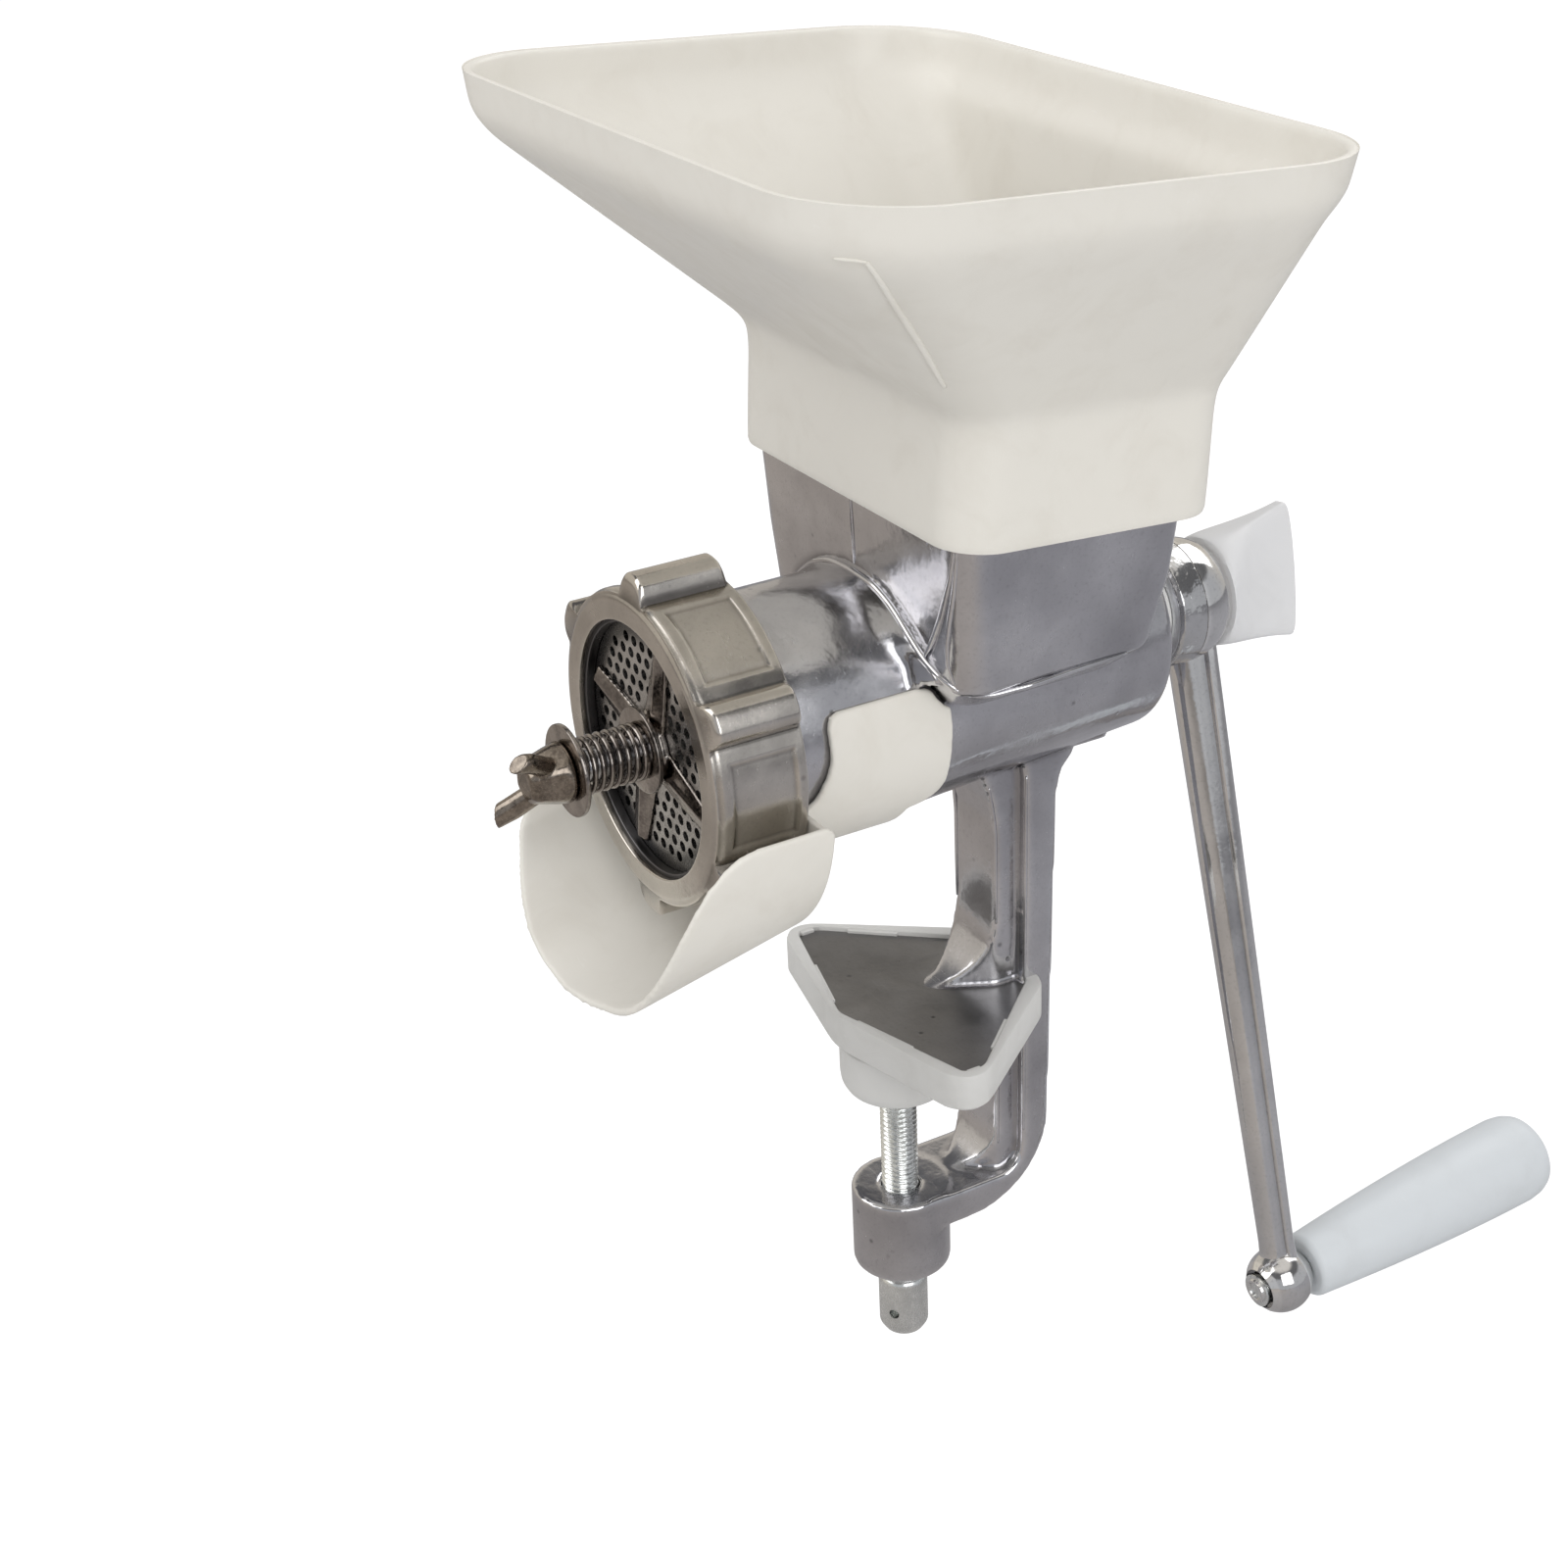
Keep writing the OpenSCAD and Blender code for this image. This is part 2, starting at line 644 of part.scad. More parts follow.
// Flared basin above the collar, with its wall moved in by inset
module basin(inset, low, top) {
    hull() {
        slab(rim_hw - inset, rim_front + inset, rim_back - inset, rim_corner - inset, top - 0.1);
        slab(rim_hw - 1.6 - inset, rim_front + 1.6 + inset, rim_back - 1.6 - inset, rim_corner - 1.6 - inset,
            rim_h - rim_lip + 2);
        slab(rim_hw - 5 - inset, rim_front + 5 + inset, rim_back - 5 - inset, rim_corner - 4 - inset,
            rim_h - rim_lip - 3);
        slab(collar_hw + 2.2 - inset, collar_front - 2.2 + inset, collar_back + 2.2 - inset, 12 - inset,
            flare_start);
    }
    hull() {
        slab(collar_hw + 2.3 - inset, collar_front - 2.3 + inset, collar_back + 2.3 - inset, 12 - inset,
            flare_start + 0.2);
        slab(collar_hw - inset, collar_front + inset, collar_back - inset, 12 - inset, low);
    }
}

module hopper() {
    shoulder_top = neck_mouth + shoulder_t;
    in_hw = collar_hw - hopper_wall;
    in_front = collar_front + hopper_wall;
    in_back = collar_back - hopper_wall;
    color(c_ivory) on_mouth() difference() {
        union() {
            basin(0, shoulder_top + 1, rim_h);
            linear_extrude(shoulder_top + 1.2) plan_outline(collar_hw, collar_front, collar_back, 12);
        }
        basin(hopper_wall, shoulder_top, rim_h + 0.3);
        translate([0, 0, -1]) linear_extrude(neck_mouth + 1 + seat_clear)
            plan_outline(in_hw, in_front, in_back, 12 - hopper_wall);
        linear_extrude(shoulder_top + 1)
            plan_outline(neck_hw - neck_wall, neck_wall, neck_depth - neck_wall, 6);
    }
}

// Outline of a rounded rectangle in plan
module plan_outline(hw, v0, v1, corner) {
    translate([-hw + corner, v0]) square([2 * (hw - corner), v1 - v0]);
    translate([-hw, v0 + corner]) square([2 * hw, v1 - v0 - 2 * corner]);
    for (x = [-hw + corner, hw - corner], v = [v0 + corner, v1 - corner])
        translate([x, v]) circle(r = corner);
}

// ---- Clamp ----
module jaw_boot() {
    color(c_white) difference() {
        linear_extrude(jaw_top_z + 1.2) boot_outline(boot_wall);
        translate([0, 0, boot_floor]) linear_extrude(jaw_t + 5) jaw_outline(0.05);
        block([-flange_w / 2 - skin_clear, throat - skin_clear, -1],
            [flange_w / 2 + skin_clear, leg_back + 20, 30]);
    }
}

module boot_outline(grow) {
    side = jaw_hw + grow;
    polygon([[-3, -jaw_tip - grow - 2], [3, -jaw_tip - grow - 2], [side - 1.4, -jaw_tip + 6.5], [side, -jaw_tip + 9],
        [side, -jaw_tip + 15.5], [side - 3, -jaw_tip + 19.5], [16, leg_back - 6], [-16, leg_back - 6],
        [-side + 3, -jaw_tip + 19.5], [-side, -jaw_tip + 15.5], [-side, -jaw_tip + 9], [-side + 1.4, -jaw_tip + 6.5]]);
}

module clamp_pad() {
    color(c_white) translate([0, 0, pad_low_z]) difference() {
        union() {
            translate([0, 0, 3]) cylinder(r = pad_r, h = pad_h - 3);
            cylinder(r1 = pad_r - 2.5, r2 = pad_r, h = 3.01);
        }
        translate([0, 0, -1]) cylinder(r = screw_r + run_clear, h = pad_h * 0.6 + 1);
    }
}

module clamp_screw() {
    tip_z = pad_low_z + pad_h * 0.6 - seat_clear;
    color(c_zinc) difference() {
        union() {
            translate([0, 0, head_top_z - 1]) cylinder(r = screw_r, h = tip_z - head_top_z + 1);
            translate([0, 0, head_top_z - 1.5]) cylinder(r1 = head_r, r2 = screw_r, h = 1.5);
            translate([0, 0, head_top_z - head_len + 2]) cylinder(r = head_r, h = head_len - 3.5);
            translate([0, 0, head_top_z - head_len]) cylinder(r1 = head_r - 1.5, r2 = head_r, h = 2);
        }
        translate([0, 0, head_top_z - head_len * 0.6]) rotate([90, 0, 35])
            cylinder(r = 1.4, h = 4 * head_r, center = true);
    }
}

// ---- Chute ----
module trough(r) {
    translate([0, ring_len + 5, -2]) rotate([90 + trough_slope, 0, 0])
        translate([0, 0, -20]) cylinder(r = r, h = 95);
}

// Side outline that keeps the trough below its lip and behind its mouth
module trough_side() {
    reach = trough_reach;
    depth = 75;
    polygon([[trough_back_y, -lip_drop - 2], [trough_back_y - 2, -lip_drop], [6, -lip_drop],
        for (a = [10 : 10 : 90]) [6 - (reach + 6) * sin(a), -lip_drop - 52 * (1 - cos(a))],
        [-reach, -depth], [trough_back_y, -depth]]);
}

// Side outline of the clip that springs onto the barrel
module clip_side() {
    start = clip_start_y;
    stop = start + clip_len;
    corner = 8;
    polygon([[trough_back_y - chute_wall, -60], [trough_back_y - chute_wall, -lip_drop - 5],
        [start - 4, -lip_drop - 1], [start - 1.2, -3], [start, 1], [start, clip_rise - 3],
        [start + 0.9, clip_rise - 0.9], [start + 3, clip_rise],
        [stop - corner, clip_rise],
        for (a = [75 : -15 : 15]) [stop - corner + corner * cos(a), clip_rise - corner + corner * sin(a)],
        [stop, clip_rise - corner], [stop, -13],
        for (a = [-15 : -15 : -75]) [stop - corner + corner * cos(a), -13 + corner * sin(a)],
        [stop - corner, -13 - corner], [stop - corner, -60]]);
}

module chute() {
    clip_in = barrel_r + skin_clear;
    stop = clip_start_y + clip_len;
    color(c_ivory) difference() {
        on_axis() {
            intersection() {
                difference() {
                    trough(trough_r);
                    trough(trough_r - chute_wall);
                }
                x_slab(2 * trough_r + 10) trough_side();
            }
            intersection() {
                difference() {
                    y_rod(clip_in + chute_wall, trough_back_y - chute_wall, stop);
                    y_rod(clip_in, ring_len, stop + 1);
                }
                x_slab(2 * trough_r) clip_side();
            }
            intersection() {
                difference() {
                    trough(trough_r - eps);
                    y_rod(clip_in, 0, stop);
                }
                block([-60, trough_back_y - chute_wall, -60], [60, trough_back_y, -lip_drop - 2]);
            }
        }
        neck_skin(0.5);
    }
}

// ---- Crank ----
// Puts what is built for a crank that hangs straight down at its real lean
module crank_place() {
    on_axis() rotate([0, -crank_lean, 0]) children();
}

// Puts what is built around the Y axis, with the ball's centre at the origin, on the grip's axis
module grip_place() {
    translate([0, arm_y, -crank_len]) rotate([grip_tilt, 0, 0]) children();
}

module crank() {
    bore_w = square_w + 2 * run_clear;
    color(c_cast) crank_place() difference() {
        union() {
            y_cone(hub_r - 0.9, hub_r - 0.5, hub_front_y, hub_back_y - 8.5);
            y_rod(hub_r, hub_back_y - 8.51, hub_back_y - 1);
            y_cone(hub_r, hub_r - 1, hub_back_y - 1, hub_back_y);
            y_slab(arm_y, arm_y + arm_flange_t) polygon([[-arm_hub_w / 2, -4],
                [-arm_ball_w / 2, -crank_len], [arm_ball_w / 2, -crank_len], [arm_hub_w / 2, -4]]);
            translate([0, arm_y, 0]) rotate([180, 0, 0]) translate([0, 0, hub_r - 4])
                cylinder(r1 = arm_hub_w / 2 - 0.5, r2 = arm_ball_w / 2 - 1.2, h = crank_len - hub_r);
            translate([0, arm_y, -crank_len]) sphere(r = ball_r);
        }
        rotate([0, crank_lean, 0]) y_square(bore_w, hub_front_y - 1, hub_back_y + 1);
        grip_place() {
            y_rod(pin_r + press_clear, -20, 20);
            y_rod(rivet_r + 0.4, -20, 2.6 - ball_r);
            y_rod(ball_r, ball_r - 1.6, 20);
        }
    }
}

grip_y = ball_r - 1.6 + grip_gap;

module crank_pin() {
    front_y = 1.6 - ball_r;
    color(c_zinc) crank_place() grip_place() {
        y_rod(rivet_r, front_y - 0.6, front_y + 1);
        y_rod(pin_r, front_y, grip_y + grip_len - 12);
        y_rod(pin_r + 1.6, grip_y + grip_len - 12, grip_y + grip_len - 10.5);
    }
}

module grip() {
    dome = 5;
    bore = pin_r + 0.08;
    belly = grip_near_r + (grip_far_r - grip_near_r) * 0.55;
    color(c_white) crank_place() grip_place() translate([0, grip_y, 0]) y_turned([
        [bore, 0], [grip_near_r - 1, 0], [grip_near_r, 1], [belly, grip_len * 0.45],
        [grip_far_r, grip_len * 0.8], [grip_far_r, grip_len - dome],
        for (a = [15 : 15 : 75])
            [grip_far_r - dome * (1 - cos(a)), grip_len - dome * (1 - sin(a))],
        [grip_far_r - dome, grip_len], [0, grip_len], [0, grip_len - 8],
        [pin_r + 1.9, grip_len - 8], [pin_r + 1.9, grip_len - 12.3], [bore, grip_len - 12.3]]);
}

knob_y = hub_back_y + 0.1;
stud_knob_r = 3;
knob_thread_len = 12;

module thumb_knob() {
    near_hw = 13.4;
    color(c_white) on_axis() rotate([0, -9, 0]) translate([0, knob_y, 0]) difference() {
        union() {
            y_turned([[0, 0], [hub_r - 1.2, 0], [9, 9], [6.5, knob_len - 4.5], [0, knob_len - 4.5]]);
            x_slab(wing_t) polygon([[0, -near_hw], [0, near_hw], [8, near_hw + 0.8], [knob_len * 0.6, near_hw + 2],
                [knob_len - 5, knob_hw], [knob_len - 3, knob_hw - 0.6],
                for (i = [-4 : 4]) [knob_len - 0.09 * i * i, -i * (knob_hw - 2) / 4],
                [knob_len - 3, -knob_hw + 0.6], [knob_len - 5, -knob_hw], [knob_len * 0.6, -near_hw - 2],
                [8, -near_hw - 0.8]]);
        }
        y_rod(stud_knob_r + press_clear, -1, knob_len * 0.5 + press_clear);
    }
}

module knob_stud() {
    color(c_zinc) on_axis() y_rod(stud_knob_r, hub_back_y - knob_thread_len, knob_y + knob_len * 0.5);
}

body_casting();
rear_bush();
perforated_plate();
plate_pin();
chute();
jaw_boot();
ring_nut();
hopper();
auger();
thrust_washer();
knife();
rear_washer();
spring();
front_washer();
wing_nut();
crank();
crank_pin();
grip();
thumb_knob();
knob_stud();
clamp_pad();
clamp_screw();
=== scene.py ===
import math

import bmesh
import bpy
import numpy as np
from mathutils import Matrix, Vector


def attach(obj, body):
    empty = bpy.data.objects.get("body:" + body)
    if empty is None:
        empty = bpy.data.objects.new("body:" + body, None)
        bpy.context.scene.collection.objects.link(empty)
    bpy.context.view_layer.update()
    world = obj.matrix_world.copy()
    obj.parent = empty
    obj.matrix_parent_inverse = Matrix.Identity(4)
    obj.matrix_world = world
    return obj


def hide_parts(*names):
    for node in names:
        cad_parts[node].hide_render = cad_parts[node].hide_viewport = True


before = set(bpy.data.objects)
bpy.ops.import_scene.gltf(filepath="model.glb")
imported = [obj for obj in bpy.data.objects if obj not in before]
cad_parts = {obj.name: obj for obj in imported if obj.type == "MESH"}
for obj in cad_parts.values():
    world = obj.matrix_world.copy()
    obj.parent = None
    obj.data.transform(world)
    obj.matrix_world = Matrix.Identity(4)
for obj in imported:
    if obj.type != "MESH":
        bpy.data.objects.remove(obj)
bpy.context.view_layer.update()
mm = 0.001
axisAt = np.array((0.0, -67.0, 98.0))
print("frame loaded")


# Angles that divide a turn evenly: each one's number over the count, times two pi.
def evenAngles(count):
    return np.arange(count) * 2 * math.pi / count


# Values held between 0 and 1.
def unit(values):
    return np.clip(values, 0, 1)


# Smooth step of a share: three times its square less twice its cube.
def eased(share):
    return share * share * (3 - 2 * share)


# Arrays of x, y and z, in millimetres, as one list of points.
def pointsOf(x, y, z):
    return np.stack(np.broadcast_arrays(x, y, z), -1).reshape(-1, 3)


# Points turned around the y axis.
def spun(verts, angle):
    x, y, z = verts.T
    return pointsOf(x * math.cos(angle) + z * math.sin(angle), y, z * math.cos(angle) - x * math.sin(angle))


# What Blender keeps for each item of a mesh, as rows.
def readOut(items, key, width=3, kind=float):
    values = np.empty(len(items) * width, kind)
    items.foreach_get(key, values)
    return values.reshape(-1, width)


# Quads over a grid of points, closed across rows or columns where wanted.
def gridFaces(rows, cols, wrapRows=False, wrapCols=True):
    i = np.arange(rows if wrapRows else rows - 1)[:, None]
    j = np.arange(cols if wrapCols else cols - 1)[None, :]
    iNext, jNext = (i + 1) % rows, (j + 1) % cols
    faces = np.stack([i * cols + j, i * cols + jNext, iNext * cols + jNext, iNext * cols + j], axis=-1)
    return faces.reshape(-1, 4).tolist()


# Faces of a tube of rows with both ends closed.
def tubeFaces(rows, cols):
    ends = [list(range(cols - 1, -1, -1)), list(range((rows - 1) * cols, rows * cols))]
    return gridFaces(rows, cols) + ends


# Profile of (radius, y) turned around the barrel's axis.
def turned(profile, count, closed=False):
    profile = np.asarray(profile, float)
    angle = evenAngles(count)
    x = profile[:, 0, None] * np.cos(angle)
    z = profile[:, 0, None] * np.sin(angle)
    y = profile[:, 1, None]
    return pointsOf(x, y, z), gridFaces(len(profile), count, closed, True)


# Profile with every corner replaced by an arc-like curve of at most that radius.
def rounded(profile, radius, steps, closed=False):
    pts = np.asarray(profile, float)
    out = []
    n = len(pts)
    for i in range(n):
        if not closed and i in (0, n - 1):
            out.append(pts[i])
            continue
        a, b, c = pts[i - 1], pts[i], pts[(i + 1) % n]
        la, lc = np.linalg.norm(a - b), np.linalg.norm(c - b)
        r = min(radius, la * 0.45, lc * 0.45)
        p0, p1 = b + (a - b) / la * r, b + (c - b) / lc * r
        for k in range(steps + 1):
            t = k / steps
            out.append((1 - t) ** 2 * p0 + 2 * t * (1 - t) * b + t * t * p1)
    return np.array(out)


# Closed prism over an (x, y) outline, between two heights.
def prism(outline, low, high):
    outline = np.asarray(outline, float)
    n = len(outline)
    verts = np.concatenate([np.column_stack([outline, np.full(n, float(height))]) for height in (low, high)])
    return verts, gridFaces(2, n) + [list(range(n - 1, -1, -1)), list(range(n, 2 * n))]


# Section of (u, v) carried along a path; u lies along the given side vector.
def swept(path, section, side):
    path = np.asarray(path, float)
    section = np.asarray(section, float)
    if section.ndim == 2:
        section = np.repeat(section[None], len(path), axis=0)
    tangent = np.gradient(path, axis=0)
    tangent /= np.linalg.norm(tangent, axis=1, keepdims=True)
    side = np.broadcast_to(np.asarray(side, float), path.shape)
    u = side - (side * tangent).sum(1, keepdims=True) * tangent
    u /= np.linalg.norm(u, axis=1, keepdims=True)
    v = np.cross(tangent, u)
    verts = path[:, None] + section[..., :1] * u[:, None] + section[..., 1:] * v[:, None]
    rows, cols = verts.shape[:2]
    return verts.reshape(-1, 3), tubeFaces(rows, cols)


# Evenly spaced (u, v) points on a circle: radius times the cosine and sine of each angle.
def circleOf(radius, count):
    a = evenAngles(count)
    return np.stack([np.cos(a), np.sin(a)], -1) * radius


# Several shells as one, each one's point numbers raised by the points before it.
def joined(shells):
    verts, faces, start = [], [], 0
    for v, f in shells:
        verts.append(v)
        faces += [[k + start for k in face] for face in f]
        start += len(v)
    return np.concatenate(verts), faces


# Moves a shape made around the origin to the barrel's axis.
def onAxis(shell):
    return shell[0] + axisAt, shell[1]


# Object from a shell in millimetres, merged by distance, with its faces outwards.
def meshObject(name, shell):
    mesh = bpy.data.meshes.new(name)
    mesh.from_pydata((shell[0] * mm).tolist(), [], shell[1])
    bm = bmesh.new()
    bm.from_mesh(mesh)
    bmesh.ops.remove_doubles(bm, verts=bm.verts, dist=1e-7)
    bmesh.ops.dissolve_degenerate(bm, dist=1e-8, edges=bm.edges)
    bmesh.ops.recalc_face_normals(bm, faces=bm.faces)
    bm.to_mesh(mesh)
    bm.free()
    piece = bpy.data.objects.new(name, mesh)
    bpy.context.scene.collection.objects.link(piece)
    return piece


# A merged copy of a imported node's mesh, in millimetres.
def shellOf(node):
    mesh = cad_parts[node].data
    bm = bmesh.new()
    bm.from_mesh(mesh)
    bmesh.ops.remove_doubles(bm, verts=bm.verts, dist=2e-6)
    bmesh.ops.recalc_face_normals(bm, faces=bm.faces)
    verts = np.array([v.co[:] for v in bm.verts]) / mm
    faces = [[v.index for v in f.verts] for f in bm.faces]
    bm.free()
    return verts, faces


# Runs modifiers over a piece and keeps their result as its mesh.
def applied(piece, *steps):
    for kind, settings in steps:
        modifier = piece.modifiers.new(kind.lower(), kind)
        for key, value in settings.items():
            setattr(modifier, key, value)
    view = bpy.context.evaluated_depsgraph_get()
    made = bpy.data.meshes.new_from_object(piece.evaluated_get(view))
    piece.modifiers.clear()
    old = piece.data
    piece.data = made
    made.name = piece.name
    bpy.data.meshes.remove(old)
    return piece


# One skin over several closed shells, with its inner and outer corners softened.
def blended(name, shells, voxel, smooth):
    piece = meshObject(name, joined(shells))
    return applied(piece, ("REMESH", {"mode": "VOXEL", "voxel_size": voxel * mm, "use_smooth_shade": True}),
                   ("SMOOTH", {"factor": 0.5, "iterations": smooth}))


# Stores how convex the skin is at each point, from -1 in a hollow to 1 on an edge.
def edgeTone(piece, passes):
    mesh = piece.data
    n = len(mesh.vertices)
    co, normal = readOut(mesh.vertices, "co"), readOut(mesh.vertices, "normal")
    a, b = readOut(mesh.edges, "vertices", 2, int).T
    count = np.bincount(np.concatenate([a, b]), minlength=n).clip(1)

    def spread(values):
        total = np.bincount(a, values[b], n) + np.bincount(b, values[a], n)
        return total / count

    lap = np.stack([spread(co[:, k]) for k in range(3)], -1) - co
    length = np.linalg.norm(co[a] - co[b], axis=1)
    size = np.bincount(a, length, n) + np.bincount(b, length, n)
    size = (size / count).clip(1e-6)
    tone = -(lap * normal).sum(1) / size * 6
    for _ in range(passes):
        tone = 0.5 * tone + 0.5 * spread(tone)
    field = mesh.attributes.new("edgeTone", "FLOAT", "POINT")
    field.data.foreach_set("value", np.clip(tone, -1, 1).astype(np.float32))


# Dresses a piece, rides it on its body and hides the imported nodes it stands for.
def place(piece, body, material, nodes, sharp=None, tone=3):
    if tone:
        edgeTone(piece, tone)
    piece.data.materials.clear()
    piece.data.materials.append(material)
    piece.data.polygons.foreach_set("use_smooth", np.ones(len(piece.data.polygons), bool))
    if sharp is not None:
        piece.data.set_sharp_from_angle(angle=math.radians(sharp))
    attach(piece, body)
    if nodes:
        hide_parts(*nodes)
    print("piece", piece.name, len(piece.data.polygons))


# Short way to write a node tree: each method adds one node and gives its main output.
class Nodes:
    def __init__(self, tree):
        self.tree = tree

    def add(self, kind, inputs=None, **settings):
        node = self.tree.nodes.new(kind if kind.startswith("Node") else "ShaderNode" + kind)
        for key, value in settings.items():
            setattr(node, key, value)
        for key, value in (inputs or {}).items():
            if isinstance(value, bpy.types.NodeSocket):
                self.tree.links.new(value, node.inputs[key])
            else:
                node.inputs[key].default_value = value
        return node

    def math(self, operation, a, b, clamp=False):
        return self.add("Math", {0: a, 1: b}, operation=operation, use_clamp=clamp).outputs[0]

    def vector(self, operation, a, b):
        return self.add("VectorMath", {0: a, 1: b}, operation=operation).outputs[0]

    def mapped(self, vector, rotation, scale):
        return self.add("Mapping", {"Vector": vector, "Rotation": rotation, "Scale": scale}).outputs[0]

    def times(self, a, b):
        return self.math("MULTIPLY", a, b)

    def plus(self, a, b, clamp=False):
        return self.math("ADD", a, b, clamp)

    def ramp(self, value, low, high, toLow=0.0, toHigh=1.0):
        inputs = {"Value": value, "From Min": low, "From Max": high, "To Min": toLow, "To Max": toHigh}
        return self.add("MapRange", inputs, interpolation_type="SMOOTHSTEP").outputs["Result"]

    def mix(self, factor, a, b):
        return self.add("Mix", {0: factor, 6: a, 7: b}, data_type="RGBA").outputs[2]

    def noise(self, vector, scale, detail, rough, distortion=0.0):
        return self.add("TexNoise", {"Vector": vector, "Scale": scale, "Detail": detail, "Roughness": rough,
                                     "Distortion": distortion}).outputs["Fac"]

    def bump(self, height, distance, normal=None):
        inputs = {"Height": height, "Distance": distance, "Strength": 1.0}
        if normal is not None:
            inputs["Normal"] = normal
        return self.add("Bump", inputs).outputs["Normal"]


# One brightness as an opaque colour.
def grey(value):
    return (value, value, value, 1.0)


# Group with the given inputs, and a colour, a roughness and a normal as its outputs.
def newGroup(name, inputs):
    group = bpy.data.node_groups.new(name, "ShaderNodeTree")
    for label, kind, default in inputs:
        socket = group.interface.new_socket(label, in_out="INPUT", socket_type="NodeSocket" + kind)
        socket.default_value = default
    for label, kind in (("Color", "Color"), ("Roughness", "Float"), ("Normal", "Vector")):
        group.interface.new_socket(label, in_out="OUTPUT", socket_type="NodeSocket" + kind)
    nodes = Nodes(group)
    return group, nodes, nodes.add("NodeGroupInput").outputs


# Links a group's results to its outputs.
def closedGroup(group, nodes, colour, rough, normal):
    nodes.add("NodeGroupOutput", {"Color": colour, "Roughness": rough, "Normal": normal})
    return group


castScale = {"slow": 22, "cloud": 70, "fine": 1100, "dents": 330, "pits": 210, "scratch": 120}
# The last two are the radii, in metres, over which painted shade comes in on the plate near the ring nut's
# wall.
steelScale = {"stain": 130, "scratch": 1500, "broad": 300, "paintedShadeFrom": 0.0235, "paintedShadeTo": 0.0275}
plasticScale = {"sink": 22, "blotch": 60, "grain": 2600, "scuff": 160}


# Skin of a tumbled aluminium casting: slow waves, dents, pits and grain, with painted highlights on convex
# edges and painted shade in hollows.
def castGroup():
    group, n, given = newGroup("castSkin", [
        ("Light", "Color", (0.5, 0.5, 0.5, 1)), ("Dark", "Color", (0.2, 0.2, 0.2, 1)),
        ("Pits", "Float", 0.5), ("Rough", "Float", 0.35), ("Wave", "Float", 1.0)])
    at = n.add("TexCoord").outputs["Object"]
    edge = n.add("Attribute", attribute_name="edgeTone").outputs["Fac"]
    slow = n.noise(at, castScale["slow"], 2, 0.45)
    cloud = n.noise(at, castScale["cloud"], 3, 0.5, 0.3)
    fine = n.noise(at, castScale["fine"], 3, 0.65)
    dents = n.noise(at, castScale["dents"], 2, 0.5)
    cells = n.add("TexVoronoi", {"Vector": at, "Scale": castScale["pits"], "Randomness": 1.0}, feature="F1")
    keep = n.ramp(n.add("SeparateColor", {"Color": cells.outputs["Color"]}).outputs["Red"], 0.8, 0.97)
    pit = n.times(n.times(n.ramp(cells.outputs["Distance"], 0.2, 0.05), keep), given["Pits"])
    scratch = n.noise(n.mapped(at, (0.7, 0.3, 0.5), (1, 14, 5)), castScale["scratch"], 3, 0.6)
    scratch = n.ramp(scratch, 0.6, 0.72)
    tone = n.plus(n.ramp(slow, 0.3, 0.7, 0.35, 0.75), n.ramp(cloud, 0.3, 0.7, -0.1, 0.14))
    # Painted highlight: lighter where the skin is convex. Painted shade: darker in hollows.
    tone = n.plus(tone, n.times(n.math("MAXIMUM", edge, 0.0), 0.5))
    tone = n.plus(tone, n.times(n.math("MINIMUM", edge, 0.0), 1.1), clamp=True)
    colour = n.mix(tone, given["Dark"], given["Light"])
    colour = n.mix(n.times(n.ramp(fine, 0.5, 0.8), 0.22), colour, grey(0.12))
    colour = n.mix(n.times(scratch, 0.04), colour, grey(0.85))
    colour = n.mix(n.times(pit, 0.75), colour, grey(0.03))
    rough = n.plus(given["Rough"], n.ramp(cloud, 0.3, 0.7, -0.03, 0.09))
    rough = n.math("SUBTRACT", rough, n.times(n.math("MAXIMUM", edge, 0.0), 0.12))
    rough = n.plus(rough, n.times(n.plus(pit, scratch), 0.08), clamp=True)
    normal = n.bump(slow, n.times(given["Wave"], 0.0011))
    normal = n.bump(cloud, n.times(given["Wave"], 0.00022), normal)
    normal = n.bump(dents, n.times(given["Wave"], 0.00005), normal)
    normal = n.bump(pit, -0.0001, normal)
    normal = n.bump(fine, 0.000011, normal)
    return closedGroup(group, n, colour, rough, normal)


# Polished steel: fine random scratches, faint stains and, where asked for, painted shade beyond a radius from
# the barrel's axis.
def steelGroup():
    group, n, given = newGroup("steelSkin", [
        ("Light", "Color", (0.5, 0.5, 0.5, 1)), ("Dark", "Color", (0.2, 0.2, 0.2, 1)),
        ("Rough", "Float", 0.2), ("Stretch", "Vector", (1, 1, 1)),
        ("PaintedRimShade", "Float", 0.0)])
    at = n.add("TexCoord").outputs["Object"]
    along = n.vector("MULTIPLY", at, given["Stretch"])
    stain = n.noise(at, steelScale["stain"], 4, 0.6, 0.8)
    scratch = n.noise(along, steelScale["scratch"], 2, 0.6)
    broad = n.noise(at, steelScale["broad"], 2, 0.5)
    tone = n.ramp(n.plus(n.times(stain, 0.7), n.times(scratch, 0.3)), 0.33, 0.66)
    colour = n.mix(tone, given["Dark"], given["Light"])
    # Painted shade: the colour is darkened beyond a radius from the barrel's axis, where the plate lies in
    # the ring nut's shade.
    apart = n.vector("SUBTRACT", at, tuple(axisAt * mm))
    flat = n.vector("MULTIPLY", apart, (1.0, 0.0, 1.0))
    reach = n.add("VectorMath", {0: flat}, operation="LENGTH").outputs["Value"]
    paintedShade = n.times(n.ramp(reach, steelScale["paintedShadeFrom"], steelScale["paintedShadeTo"]), given["PaintedRimShade"])
    colour = n.mix(paintedShade, colour, grey(0.035))
    rough = n.plus(given["Rough"], n.times(n.ramp(scratch, 0.4, 0.7), 0.12))
    normal = n.bump(broad, 0.00006)
    normal = n.bump(scratch, 0.000008, normal)
    return closedGroup(group, n, colour, rough, normal)


